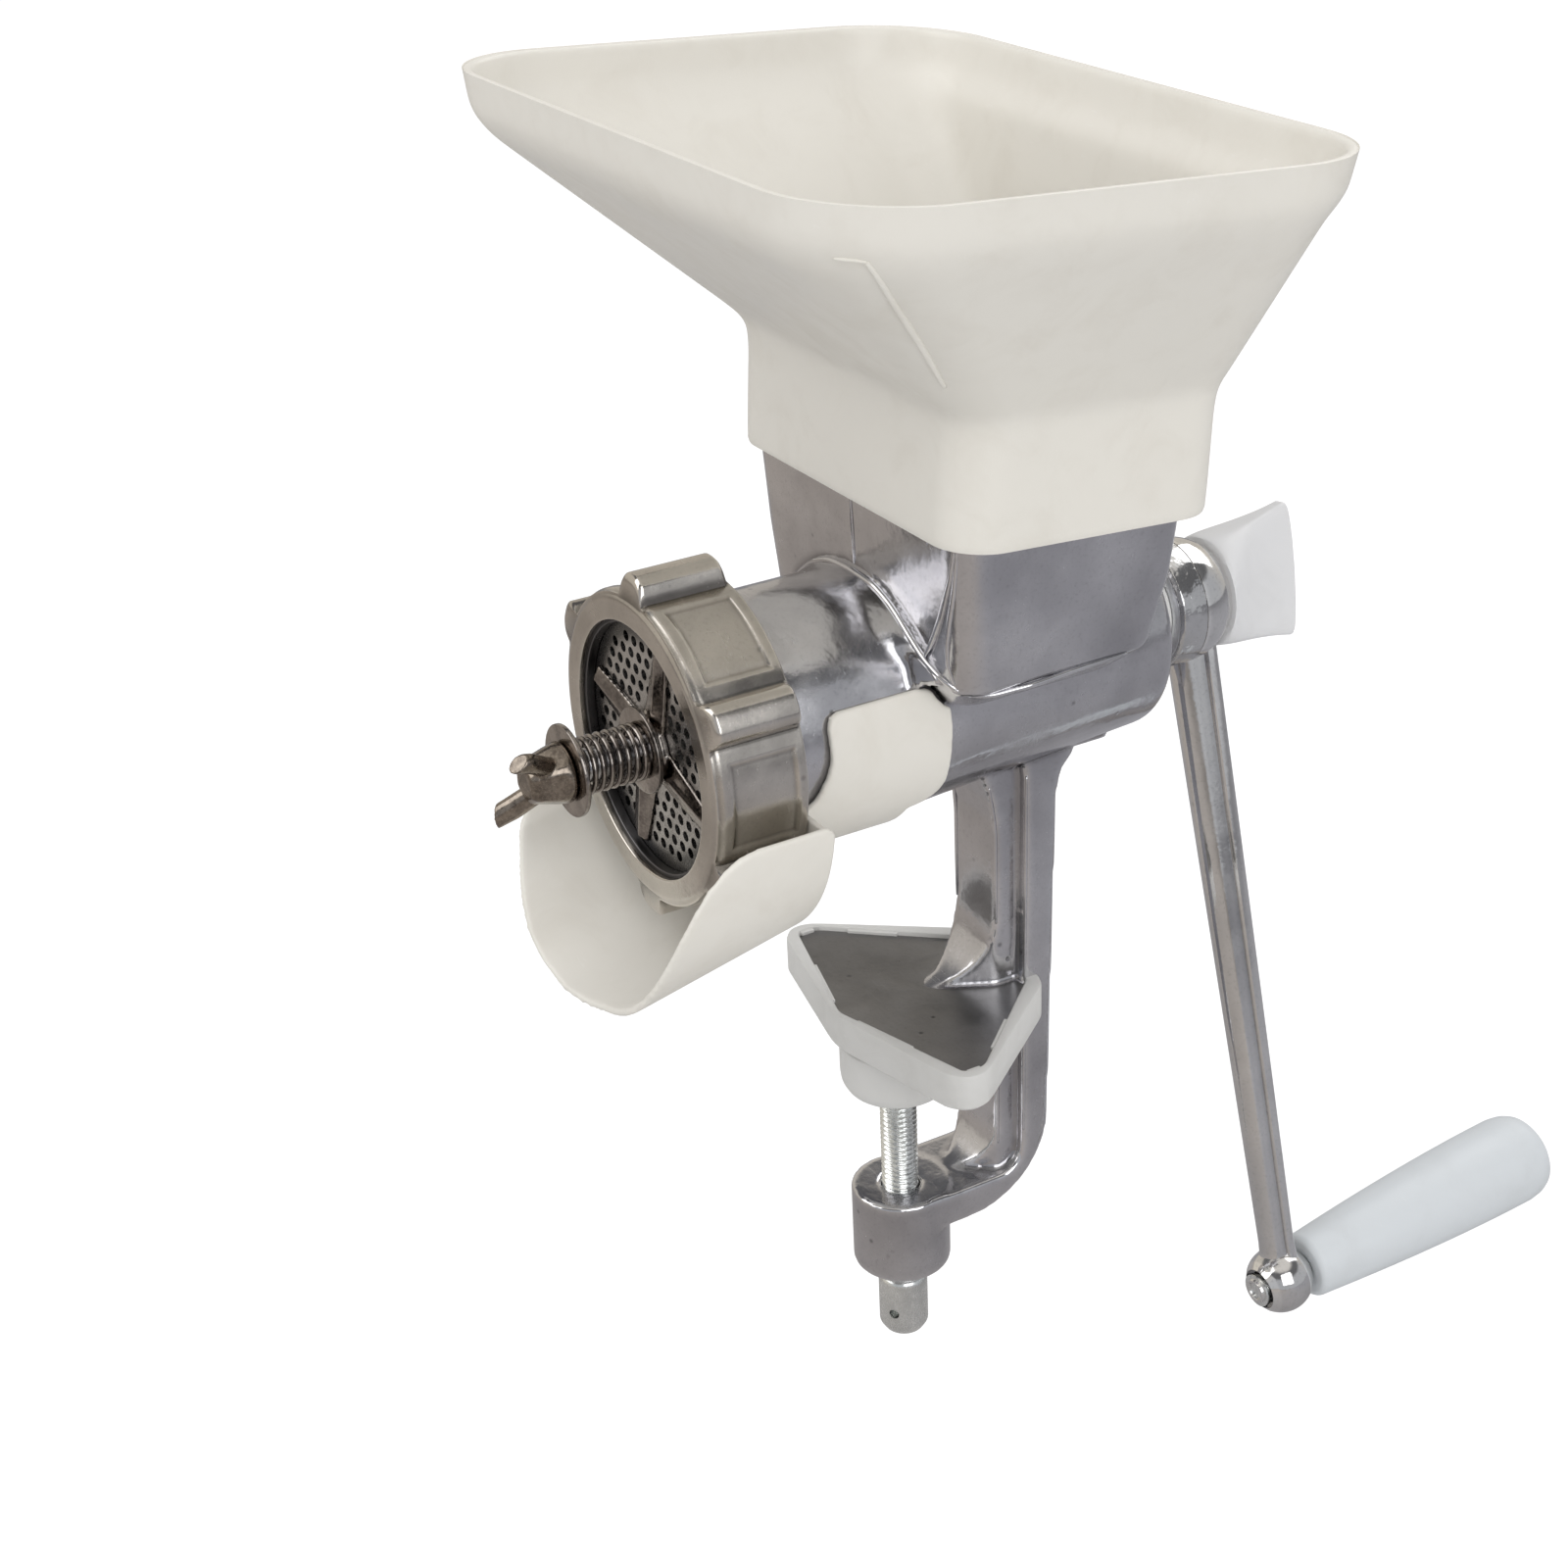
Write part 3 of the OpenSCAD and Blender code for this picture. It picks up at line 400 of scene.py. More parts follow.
# Moulded plastic: a fine spark-eroded grain, slow sink waves, scuffs and a little soiling.
def plasticGroup():
    group, n, given = newGroup("plasticSkin", [
        ("Clean", "Color", (0.8, 0.8, 0.8, 1)), ("Soiled", "Color", (0.5, 0.5, 0.5, 1)),
        ("Rough", "Float", 0.4), ("Grain", "Float", 1.0)])
    at = n.add("TexCoord").outputs["Object"]
    sink = n.noise(at, plasticScale["sink"], 2, 0.45)
    blotch = n.noise(at, plasticScale["blotch"], 4, 0.62, 0.5)
    grain = n.noise(at, plasticScale["grain"], 2, 0.6)
    scuff = n.noise(n.mapped(at, (0.4, 0.2, 0.9), (1, 9, 3)), plasticScale["scuff"], 3, 0.6)
    scuff = n.ramp(scuff, 0.66, 0.78)
    dirt = n.times(n.ramp(blotch, 0.42, 0.78), 0.35)
    colour = n.mix(dirt, given["Clean"], given["Soiled"])
    colour = n.mix(n.times(scuff, 0.12), colour, grey(0.9))
    rough = n.plus(given["Rough"], n.times(n.ramp(blotch, 0.3, 0.7), 0.1))
    rough = n.plus(rough, n.times(scuff, 0.12), clamp=True)
    normal = n.bump(sink, 0.0006)
    normal = n.bump(grain, n.times(given["Grain"], 0.000018), normal)
    return closedGroup(group, n, colour, rough, normal)


# Empty node tree of a material or a world.
def freshNodes(owner):
    owner.use_nodes = True
    owner.node_tree.nodes.clear()
    return Nodes(owner.node_tree)


# Material whose colour, roughness and normal come from a shared group.
def skinned(name, group, inputs, **shader):
    material = bpy.data.materials.new(name)
    n = freshNodes(material)
    skin = n.add("Group", node_tree=group)
    for key, value in inputs.items():
        skin.inputs[key].default_value = value
    surface = n.add("BsdfPrincipled", {"Base Color": skin.outputs["Color"],
                                       "Roughness": skin.outputs["Roughness"],
                                       "Normal": skin.outputs["Normal"]})
    for key, value in shader.items():
        surface.inputs[key.replace("_", " ")].default_value = value
    n.add("OutputMaterial", {0: surface.outputs[0]})
    return material


castSkin, steelSkin, plasticSkin = castGroup(), steelGroup(), plasticGroup()
castFinishes = {  # name, light, dark, pits, roughness, waves
    "cast": ("castAluminium", (0.74, 0.735, 0.755), (0.35, 0.345, 0.365), 0.7, 0.15, 1.25),
    "jaw": ("sawnAluminium", (0.34, 0.335, 0.335), (0.17, 0.168, 0.17), 1.0, 0.3, 0.8),
    "ring": ("ringAluminium", (0.72, 0.68, 0.625), (0.3, 0.28, 0.255), 0.5, 0.17, 0.7),
    "crank": ("crankAluminium", (0.9, 0.89, 0.88), (0.55, 0.55, 0.56), 0.3, 0.09, 0.35),
    "band": ("hammeredAluminium", (0.8, 0.8, 0.8), (0.4, 0.4, 0.41), 1.0, 0.18, 6.0),
    "face": ("turnedAluminium", (0.85, 0.86, 0.88), (0.6, 0.61, 0.63), 0.2, 0.45, 0.2),
    # A dark copy of the aluminium: painted shade for the ring nut's inner faces.
    "paintedShade": ("shadedAluminium", (0.16, 0.155, 0.16), (0.05, 0.05, 0.055), 0.5, 0.35, 0.5),
}
steelFinishes = {  # name, light, dark, roughness, stretch of the scratches, strength of the painted shade beyond a radius
    "steel": ("polishedSteel", (0.4, 0.365, 0.335), (0.17, 0.15, 0.14), 0.12, (1, 1, 1), 0.0),
    "nut": ("tarnishedSteel", (0.36, 0.31, 0.26), (0.12, 0.1, 0.085), 0.16, (1, 1, 1), 0.0),
    "plate": ("groundPlate", (0.52, 0.51, 0.5), (0.33, 0.32, 0.31), 0.26, (1, 0.2, 1), 0.85),
    "zinc": ("zincSteel", (0.92, 0.94, 0.93), (0.74, 0.76, 0.75), 0.2, (1, 1, 0.3), 0.0),
}
plasticFinishes = {  # name, clean, soiled, roughness, grain, refraction
    "ivory": ("ivoryPlastic", (0.725, 0.7, 0.645), (0.62, 0.585, 0.52), 0.34, 1.0, 1.5),
    "white": ("gripPlastic", (0.62, 0.65, 0.675), (0.53, 0.55, 0.565), 0.36, 0.8, 1.5),
    "knob": ("knobPlastic", (0.69, 0.69, 0.7), (0.58, 0.58, 0.585), 0.4, 0.8, 1.5),
    "rubber": ("softPlastic", (0.61, 0.605, 0.59), (0.5, 0.49, 0.47), 0.5, 1.6, 1.45),
    "nylon": ("plainNylon", (0.8, 0.8, 0.78), (0.66, 0.66, 0.64), 0.42, 1.0, 1.5),
}
looks = {}
for key, (name, light, dark, pits, rough, wave) in castFinishes.items():
    looks[key] = skinned(name, castSkin, {"Light": (*light, 1), "Dark": (*dark, 1), "Pits": pits,
                                          "Rough": rough, "Wave": wave}, Metallic=1.0)
for key, (name, light, dark, rough, stretch, paintedShade) in steelFinishes.items():
    looks[key] = skinned(name, steelSkin, {"Light": (*light, 1), "Dark": (*dark, 1), "Rough": rough,
                                           "Stretch": stretch, "PaintedRimShade": paintedShade}, Metallic=1.0)
for key, (name, clean, soiled, rough, grain, refraction) in plasticFinishes.items():
    looks[key] = skinned(name, plasticSkin, {"Clean": (*clean, 1), "Soiled": (*soiled, 1), "Rough": rough,
                                             "Grain": grain}, IOR=refraction)
print("materials made")

# Camera
shot = {"azimuth": 61.53, "elevation": 26.81, "roll": -2.79, "lens": 60.22, "at": (0.4914, -0.29569, 0.36104)}
azimuth, elevation, roll = (math.radians(shot[k]) for k in ("azimuth", "elevation", "roll"))
backward = Vector((math.sin(azimuth) * math.cos(elevation), -math.cos(azimuth) * math.cos(elevation),
                   math.sin(elevation)))
rightward = Vector((math.cos(azimuth), math.sin(azimuth), 0))
upward = backward.cross(rightward)
turnedRight = rightward * math.cos(roll) + upward * math.sin(roll)
turnedUp = upward * math.cos(roll) - rightward * math.sin(roll)
camera = bpy.data.objects.new("camera", bpy.data.cameras.new("camera"))
camera.data.lens = shot["lens"]
camera.data.sensor_width = 36
camera.data.sensor_fit = "HORIZONTAL"
camera.matrix_world = Matrix.Translation(shot["at"]) @ Matrix(
    (turnedRight, turnedUp, backward)).transposed().to_4x4()
bpy.context.scene.collection.objects.link(camera)
bpy.context.scene.camera = camera


# Hopper
hopperShape = {"tilt": 4.0, "neckFront": 58.5, "collarLow": 50.0, "wall": 2.4, "shoulder": 24.0,
               "shoulderLow": 22.0, "rim": 88.0, "opening": (43.5, 3.5, 59.5, 6.0),
               "mouth": (51.6, -3.1, 68.9, 12.0), "foot": (50.4, -1.9, 67.7, 10.8), "soften": 1.8,
               "lipRows": 7,
               "creases": [([(85.0, -52.8, 228.4), (84.4, -50.9, 226.1), (82.5, -48.1, 222.9),
                             (78.1, -42.9, 217.2), (73.6, -37.4, 211.2), (69.9, -32.9, 206.3),
                             (65.9, -28.2, 201.2), (61.2, -23.0, 195.3), (57.1, -18.4, 190.2)], 0.75),
                           ([(80.8, -57.3, 229.0), (82.5, -55.8, 228.9), (83.8, -54.5, 228.8),
                             (85.0, -52.8, 228.4)], 0.4)]}
stations = np.array([  # height, half width, front, back, corner
    (0, 51.5, -3.0, 68.8, 12), (6, 51.6, -3.1, 68.9, 12), (24, 51.6, -3.1, 68.9, 12),
    (29.5, 52.1, -3.6, 69.3, 12.2), (32, 53.6, -5.2, 70.2, 12.6), (74, 88.2, -57.4, 70.4, 23.9),
    (79, 91.6, -60.9, 73.2, 26.3), (88, 93.2, -62.5, 74.8, 27.9)])


# Rounded rectangles as rows of points; each corner is an arc and each side is evenly divided.
def ringRows(hw, front, back, corner, perCorner=17, perSide=9):
    hw, front, back, corner = (np.asarray(k, float)[:, None] for k in (hw, front, back, corner))
    quarter = np.linspace(0, math.pi / 2, perCorner)[None]
    arcs = []
    for turn, sx, atBack in ((0, 1, True), (1, -1, True), (2, -1, False), (3, 1, False)):
        a = quarter + turn * math.pi / 2
        cx = sx * (hw - corner)
        cv = (back - corner) if atBack else (front + corner)
        arcs.append(np.stack([cx + corner * np.cos(a), cv + corner * np.sin(a)], -1))
    parts = []
    for k in range(4):
        first, second = arcs[k][:, -1:], arcs[(k + 1) % 4][:, :1]
        share = np.linspace(0, 1, perSide + 2)[1:-1][None, :, None]
        parts += [arcs[k], first + (second - first) * share]
    return np.concatenate(parts, axis=1)


# Gaussian running mean over evenly spaced values, with its ends held.
def softened(values, width):
    reach = int(width * 3)
    kernel = np.exp(-0.5 * (np.arange(-reach, reach + 1) / width) ** 2)
    start, end = 2 * values[0] - values[reach:0:-1], 2 * values[-1] - values[-2:-reach - 2:-1]
    padded = np.concatenate([start, values, end])
    return np.convolve(padded, kernel / kernel.sum(), "valid")


# Evenly spaced points along a path, its corners softened by a running mean.
def curveOf(points, count):
    points = np.asarray(points, float)
    along = np.concatenate([[0], np.cumsum(np.linalg.norm(np.diff(points, axis=0), axis=1))])
    even = np.linspace(0, along[-1], count)
    line = np.stack([np.interp(even, along, points[:, k]) for k in range(3)], -1)
    return np.stack([softened(line[:, k], count / 40) for k in range(3)], -1)


# Raised line along a path: a round section that tapers to nothing much at both ends.
def seam(points, radius, side, flat=1.0, count=70):
    path = curveOf(points, count)
    swell = np.sin(np.linspace(0.25, math.pi - 0.25, count)) ** 0.35
    section = circleOf(radius, 14)[None] * swell[:, None, None] * np.array((1.0, flat))
    return swept(path, section, side)


# Heights and rounded rectangles that are a base one made larger by each step's amount.
def loopsAt(base, steps):
    rows = [(z, base[0] + d, base[1] - d, base[2] + d, base[3] + d) for z, d in steps]
    return tuple(np.array(column) for column in zip(*rows))


# Hopper: rounded rectangles up its outside, over the lip, down its inside and out through the mouth.
def makeHopper():
    s = hopperShape
    height = np.arange(0, s["rim"] + 0.01)
    columns = [np.interp(height, stations[:, 0], stations[:, k]) for k in range(1, 5)]
    columns = [softened(c, s["soften"]) for c in columns]
    wall = s["wall"]
    lipTurns = np.linspace(0, math.pi, s["lipRows"])[1:-1]
    above = height >= 1.0
    rows = [(height[above], *(c[above] for c in columns))]
    last = [c[-1] for c in columns]
    shift = wall / 2 * (1 - np.cos(lipTurns))
    rows.append((s["rim"] + wall * 0.28 * np.sin(lipTurns) - 0.68, last[0] - shift, last[1] + shift,
                 last[2] - shift, last[3] - shift))
    down = height[(height > s["shoulder"] + 1.5) & (height < s["rim"] - 0.6)][::-1]
    inner = [np.interp(down, height, c) for c in columns]
    rows.append((down, inner[0] - wall, inner[1] + wall, inner[2] - wall, inner[3] - wall))
    mouth = [k - wall * sign for k, sign in zip(s["mouth"], (1, -1, 1, 1))]
    low, high = s["shoulderLow"], s["shoulder"]
    rows.append(loopsAt(mouth, [(high + 0.9, -0.3), (high + 0.2, -1.1)]))
    rows.append(loopsAt(s["opening"], [(high, 0.7), (high - 0.4, 0.0), (low + 0.4, 0.0), (low, 0.7)]))
    rows.append(loopsAt(mouth, [(low, -0.9), (low - 0.9, 0.0), (12, 0.0), (1.0, 0.0), (0.25, 0.5)]))
    rows.append(loopsAt(s["foot"], [(0.0, 0.0), (0.1, 0.8)]))
    up, hw, front, back, corner = (np.concatenate([r[k] for r in rows]) for k in range(5))
    ring = ringRows(hw, front, back, corner)
    x, v = ring[..., 0], ring[..., 1]
    w = np.repeat(up[:, None], ring.shape[1], axis=1)
    t = math.radians(s["tilt"])
    y = s["neckFront"] + v * math.cos(t) + w * math.sin(t)
    z = s["collarLow"] - v * math.sin(t) + w * math.cos(t)
    shell = pointsOf(x, y, z), gridFaces(len(up), ring.shape[1], True, True)
    piece = meshObject("hopperShell", onAxis(shell))
    place(piece, "hopper", looks["ivory"], ["hopper"], 38)
    lines = []
    for flip in (1, -1):
        for path, size in s["creases"]:
            path = np.array(path, float) * (flip, 1, 1)
            lines.append(seam(path, size, (0.5 * flip, 0.6, 0.6), 0.7))
    place(meshObject("hopperCreases", joined(lines)), "hopper", looks["ivory"], [])


makeHopper()

# Ring nut
ringShape = {"radius": 38.0, "opening": 29.9, "length": 23.5, "lip": 4.0, "inside": 34.06, "tip": 43.4,
             "flat": 3.4, "round": 0.75, "foot": 0.07, "lugHalf": 5.2, "shoulder": 1.2, "count": 6,
             "turn": 29.0, "around": 720, "border": 2.4, "sunk": 0.5, "panelFront": 4.2, "panelBack": 21.4}


# Ring nut: a turned profile whose radius rises into crowned lugs and sinks into panels between them.
def makeRing():
    s = ringShape
    radius, opening, inside = s["radius"], s["opening"], s["inside"]
    outer = rounded([(opening + 0.9, 1.6), (opening + 0.9, 0.0), (radius - 2.2, 0.0), (radius - 0.9, 0.6),
                     (radius, 2.2), (radius, 8), (radius, 16), (radius, s["length"]), (inside, s["length"])],
                    0.5, 4)
    dense = []
    for a, b in zip(outer[:-1], outer[1:]):
        count = max(1, int(np.linalg.norm(b - a) / 0.35))
        dense += [a + (b - a) * k / count for k in range(count)]
    dense.append(outer[-1])
    back = rounded([(inside, s["length"]), (inside, s["lip"]), (opening, s["lip"]), (opening, 1.6),
                    (opening + 0.9, 1.6)], 0.3, 3)[1:-1]
    profile = np.array(dense + list(back))
    angle = evenAngles(s["around"])
    pitch = 2 * math.pi / s["count"]
    offset = (angle - math.radians(s["turn"]) + pitch / 2) % pitch - pitch / 2
    along = np.abs(offset) * s["radius"]
    crown = unit(along / s["lugHalf"])
    foot = unit((s["lugHalf"] + s["shoulder"] - along) / s["shoulder"])
    lift = (1 - s["foot"]) * (1 - crown ** s["flat"]) ** s["round"] + s["foot"] * eased(foot)
    r = np.repeat(profile[:, 0, None], s["around"], axis=1)
    y = np.repeat(profile[:, 1, None], s["around"], axis=1)
    isOuter = (profile[:, 0] > s["radius"] - 1.0)[:, None]
    front = unit((y - 0.2) / 1.9)
    end = unit((s["length"] - 0.7 - y) / 1.5)
    window = np.sqrt(unit(1 - (1 - front) ** 2)) * np.sqrt(unit(1 - (1 - end) ** 2))
    panelStart = s["lugHalf"] + s["shoulder"] + s["border"]
    inset = np.minimum(np.minimum(y - s["panelFront"], s["panelBack"] - y), (along - panelStart)[None])
    sunk = unit(inset / 1.2)
    r = np.where(isOuter, r - s["sunk"] * eased(sunk), r)
    base = s["radius"] - 0.6
    r = np.where(isOuter, np.maximum(r, base + (s["tip"] - base) * lift * window), r)
    x, z = r * np.cos(angle), r * np.sin(angle)
    shell = pointsOf(x, y, z), gridFaces(len(profile), s["around"], True, True)
    piece = meshObject("ringNut", onAxis(shell))
    place(piece, "ring", looks["ring"], ["ring_nut"], 40)
    # The faces inside the opening get the dark copy of the aluminium: painted shade on the ring's inner wall.
    piece.data.materials.append(looks["paintedShade"])
    middle = readOut(piece.data.polygons, "center") / mm - axisAt
    inner = (np.hypot(middle[:, 0], middle[:, 2]) < s["opening"] + 0.6) & (middle[:, 1] > 0.9)
    piece.data.polygons.foreach_set("material_index", inner.astype(np.int32))


makeRing()

# Body casting
castShape = {
    "voxel": 0.85, "smooth": 3, "keep": 0.4,
    "bead": [(-27, -7.9, 118.5), (-24, -8.2, 121.1), (-18, -8.6, 125.1), (-9.5, -8.9, 128.2),
             (0, -8.9, 129.0), (9.9, -8.7, 128.4), (14, -8.6, 126.9), (18.1, -8.5, 125.1), (24, -8.4, 121.1),
             (29.9, -8.2, 117.1), (33.9, -8.0, 115.4), (37.5, -7.3, 113.7), (39.8, -5.8, 112.1),
             (40.3, -2.2, 109.9)],
    "corner": [(42.7, -7.4, 148.2), (41.9, -7.5, 144), (41.0, -7.6, 140), (39.2, -7.7, 134.8),
               (37.1, -7.7, 129.4), (34.6, -7.7, 124.4), (32.3, -7.8, 120.4), (30.2, -7.9, 117.6)],
    "fold": [(43.2, -7.0, 148.2), (42.3, -7.1, 140.5), (41.3, -7.1, 135), (40.2, -7.2, 130.4),
             (38.6, -7.2, 123.7), (38.3, -6.9, 117.7), (39.5, -5.9, 113.4)],
    "pouch": [(39.8, -5.8, 112.1), (40.3, -2.2, 109.9), (41.2, 2.8, 108.9), (43.0, 13.2, 109.6),
              (43.1, 25.2, 110.4), (43.0, 39.2, 110.8)],
    "parting": [(0.0, -7.6, 129), (0.0, -7.9, 136.3), (0.0, -8.2, 144.8), (0.0, -8.3, 148)],
    "legEdges": [[(9.0, 23.3, 66), (9.0, 24.6, 58), (9.0, 25.1, 52), (9.0, 25.1, 27)],
                 [(-9.0, 23.3, 66), (-9.0, 24.6, 58), (-9.0, 25.1, 52), (-9.0, 25.1, 27)],
                 [(12.4, 32.2, 68), (12.4, 32.0, 56), (12.4, 31.7, 30), (12.4, 31.4, 4)],
                 [(9.0, 25.1, -4), (9.0, 25.1, -40)], [(12.4, 31.3, -4), (12.4, 31.0, -36)]],
    "flare": {"low": -26.0, "high": -8.6, "radius": 30.2,
              "turn": (-80, -67, -57.4, -46, -33.7, -18, 0, 18, 33.7, 46, 57.4, 62.8, 67.2, 68.6, 69.4, 84,
                       96, 110),
              "reach": (30.2, 31, 34.4, 33.0, 32.3, 31.4, 30.8, 31.6, 32.3, 33.0, 34.9, 37.6, 39.9, 40.3,
                        30.2, 30.2, 30.2, 30.2)}}


# Body casting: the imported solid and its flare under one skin, with its seams laid over it.
def makeCasting():
    s = castShape
    flare = s["flare"]
    turn = np.radians(np.arange(0, 360, 2.0))
    reach = np.interp(np.degrees(turn), np.array(flare["turn"][6:]), flare["reach"][6:])
    reach = np.where(turn > math.pi, np.interp(np.degrees(turn) - 360, flare["turn"], flare["reach"]), reach)
    reach = np.where((turn > math.radians(110)) & (turn < math.radians(280)), flare["radius"], reach)
    ease = np.linspace(0, 1, 16)
    wrapped = np.where(turn > math.pi, turn - 2 * math.pi, turn)
    start = np.interp(np.abs(np.degrees(wrapped)), (40, 58), (flare["low"], flare["high"] - 2.5))
    r = flare["radius"] - 0.7 + (reach[None] - flare["radius"] + 0.7) * (ease ** 2.4)[:, None]
    x, z = r * np.sin(turn), r * np.cos(turn) + 98
    y = start[None] + (flare["high"] - start)[None] * ease[:, None]
    faces = tubeFaces(len(ease), len(turn))
    core = shellOf("body_casting")
    piece = blended("bodyCasting", [core, (pointsOf(x, y, z), faces)], s["voxel"], s["smooth"])
    applied(piece, ("DECIMATE", {"decimate_type": "COLLAPSE", "ratio": s["keep"]}))
    place(piece, "body", looks["cast"], ["body_casting"], tone=2)
    seams = [seam(s["bead"], 0.85, (0, 1, 0)), seam(s["corner"], 0.9, (1, 0, 0), 0.7),
             seam(s["fold"], 0.8, (1, 0, 0), 0.8), seam(s["pouch"], 0.7, (0, 0, 1)),
             seam(s["parting"], 0.45, (1, 0, 0))]
    seams += [seam(path, 0.5, (1, 0, 0), 1.0, 90) for path in s["legEdges"]]
    place(meshObject("castSeams", joined(seams)), "body", looks["cast"], [])


makeCasting()

# Chute and jaw boot
mouldShape = {"chute": (0.5, 12), "wall": 2.7, "floor": 1.7, "jawTop": 9.2, "rim": 10.5, "corner": 5.0,
              "farWall": {"above": 66.0, "drop": 0.62, "inward": 2.5, "from": -38.0, "to": -52.0,
                          "side": -12.0, "fade": 18.0},
              "lip": {"from": -64.0, "side": 10.0, "fade": 16.0, "height": 46.0, "spread": 12.0,
                      "forward": 3.0, "deeper": 1.3},
              "chuteKeep": 0.75, "around": 720, "bevel": 0.25,
              "outer": [(0, -18.4), (39.5, -9.6), (43.7, -6.0), (43.7, -1.0), (40.5, 3.6), (16, 35.4),
                        (-16, 35.4), (-40.5, 3.6), (-43.7, -1.0), (-43.7, -6.0), (-39.5, -9.6)],
              "inner": [(0, -16.6), (40.7, -5.3), (40.7, 0.3), (12.8, 31.9), (-12.8, 31.9), (-40.7, 0.3),
                        (-40.7, -5.3)],
              "tabs": [((6, -15.1), (24, -10.1)), ((-24, -10.1), (-6, -15.1)), ((40.6, -4.4), (40.6, -0.6)),
                       ((-40.6, -0.6), (-40.6, -4.4)), ((35, 6.9), (26, 17.0)), ((-26, 17.0), (-35, 6.9))]}


# Where rays from a centre leave a closed outline, one point for each angle.
def polarLoop(outline, angles, centre):
    a = np.asarray(outline, float) - centre
    b = np.roll(a, -1, axis=0)
    d = np.stack([np.cos(angles), np.sin(angles)], -1)
    edge = b - a
    cross = d[:, None, 0] * edge[None, :, 1] - d[:, None, 1] * edge[None, :, 0]
    safe = np.where(np.abs(cross) < 1e-9, 1e-9, cross)
    t = (a[None, :, 0] * edge[None, :, 1] - a[None, :, 1] * edge[None, :, 0]) / safe
    u = (a[None, :, 0] * d[:, None, 1] - a[None, :, 1] * d[:, None, 0]) / safe
    good = (t > 0) & (u >= -1e-6) & (u <= 1 + 1e-6)
    reach = np.where(good, t, -1).max(axis=1)
    return d * reach[:, None] + centre


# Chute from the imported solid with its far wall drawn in, then the jaw's boot and the jaw's face.
def makeMoulded():
    s = mouldShape
    verts, faces = shellOf("chute")
    x, y, z = verts.T
    far, lip = s["farWall"], s["lip"]
    share = unit((y - far["from"]) / (far["to"] - far["from"])) * unit((far["side"] - x) / far["fade"])
    share = eased(share)
    pull = unit((lip["from"] - y) / lip["fade"]) * unit((lip["side"] - x) / lip["fade"])
    pull = pull * np.exp(-((z - lip["height"]) / lip["spread"]) ** 2)
    sunk = pointsOf(x + share * far["inward"], y - lip["forward"] * pull,
                    z - share * far["drop"] * np.maximum(0, z - far["above"]) - lip["deeper"] * pull)
    chute = blended("chuteShell", [(sunk, faces)], *s["chute"])
    applied(chute, ("DECIMATE", {"decimate_type": "COLLAPSE", "ratio": s["chuteKeep"]}))
    place(chute, "body", looks["ivory"], ["chute"])
    centre = np.array((0.0, 4.0))
    angles = evenAngles(s["around"])
    outer = polarLoop(rounded(s["outer"], s["corner"], 6, True), angles, centre)
    inner = polarLoop(rounded(s["inner"], 2.0, 5, True), angles, centre)

    # Rows of a loop, each scaled about the centre and set at its height.
    def rowsOf(loop, steps):
        return [np.column_stack([centre + (loop - centre) * share, np.full(len(loop), z)])
                for share, z in steps]

    rim, floor, top = s["rim"], s["floor"], s["jawTop"]
    rows = rowsOf(outer, [(0.0, 0.0), (0.9, 0.0), (0.975, 0.25), (1.0, 1.3), (1.0, 5.0), (1.0, rim - 0.8),
                          (0.993, rim - 0.2), (0.98, rim)])
    rows += rowsOf(inner, [(1.008, rim), (1.0, rim - 0.3), (1.0, floor), (0.9, floor), (0.0, floor)])
    shells = [(np.concatenate(rows), gridFaces(len(rows), len(angles)))]
    for a, b in s["tabs"]:
        a, b = np.array(a, float), np.array(b, float)
        side = np.array((-(b - a)[1], (b - a)[0])) / np.linalg.norm(b - a)
        if np.dot(side, centre - a) < 0:
            side = -side
        corners = [a - side * 0.6, b - side * 0.6, b + side * 0.9, a + side * 0.9]
        shells.append(prism(corners, top - 0.2, rim - 0.35))
    boot = meshObject("jawBoot", joined(shells))
    applied(boot, ("BEVEL", {"width": s["bevel"] * mm, "segments": 2, "limit_method": "ANGLE",
                             "angle_limit": 0.9}))
    place(boot, "body", looks["rubber"], ["jaw_boot"], 40)
    rows = rowsOf(inner, [(0.0, top + 0.12), (0.99, top + 0.12), (0.995, top - 0.3), (0.0, top - 0.3)])
    jaw = meshObject("jawFace", (np.concatenate(rows), gridFaces(len(rows), len(angles))))
    place(jaw, "body", looks["jaw"], [], 40, 0)


makeMoulded()

# Crank, grip and knob
handleShape = {"lean": 15.6, "length": 189.2, "armY": 155.1, "gripGap": 8.2, "tilt": 4.2, "gripLength": 83.0,
               "near": 9.0, "far": 12.6, "hubFront": 143.5, "hubBack": 161.7, "hub": 16.2, "band": 8.0,
               "rodTop": 5.7, "rodLow": 4.1, "finTop": 6.2, "finLow": 5.3, "ball": 9.0, "knobLength": 28.4,
               "knobTurn": -9.0, "knobTall": 14.3, "knobThin": 2.5, "rodRows": 90,
               "rodSide": [(4.25, -1.75), (4.45, -0.9), (4.4, 0.2), (4.5, 0.75)],
               "rivet": [(0, -6.9), (1.2, -6.8), (1.9, -6.3), (2.1, -4.6), (3.1, -4.4), (3.3, -5.2),
                         (3.5, -6.6), (4.5, -6.7), (4.7, -5.2), (5.3, -5.1), (5.6, -6.9)],
               "rivetLip": [(2.4, -7.8), (2.45, -8.7), (3.3, -8.75), (3.6, -7.8)]}


# From a crank that hangs straight down, on the barrel's axis, to its lean in the part's frame.
def atCrank(shell):
    return onAxis((spun(shell[0], math.radians(-handleShape["lean"])), shell[1]))


# From a shape around the pin at the origin to its place at the crank's end, leaning towards the hub.
def atPin(shell):
    s = handleShape
    t = math.radians(s["tilt"])
    x, y, z = shell[0].T
    verts = np.stack([x, y * math.cos(t) - z * math.sin(t) + s["armY"],
                      y * math.sin(t) + z * math.cos(t) - s["length"]], -1)
    return atCrank((verts, shell[1]))


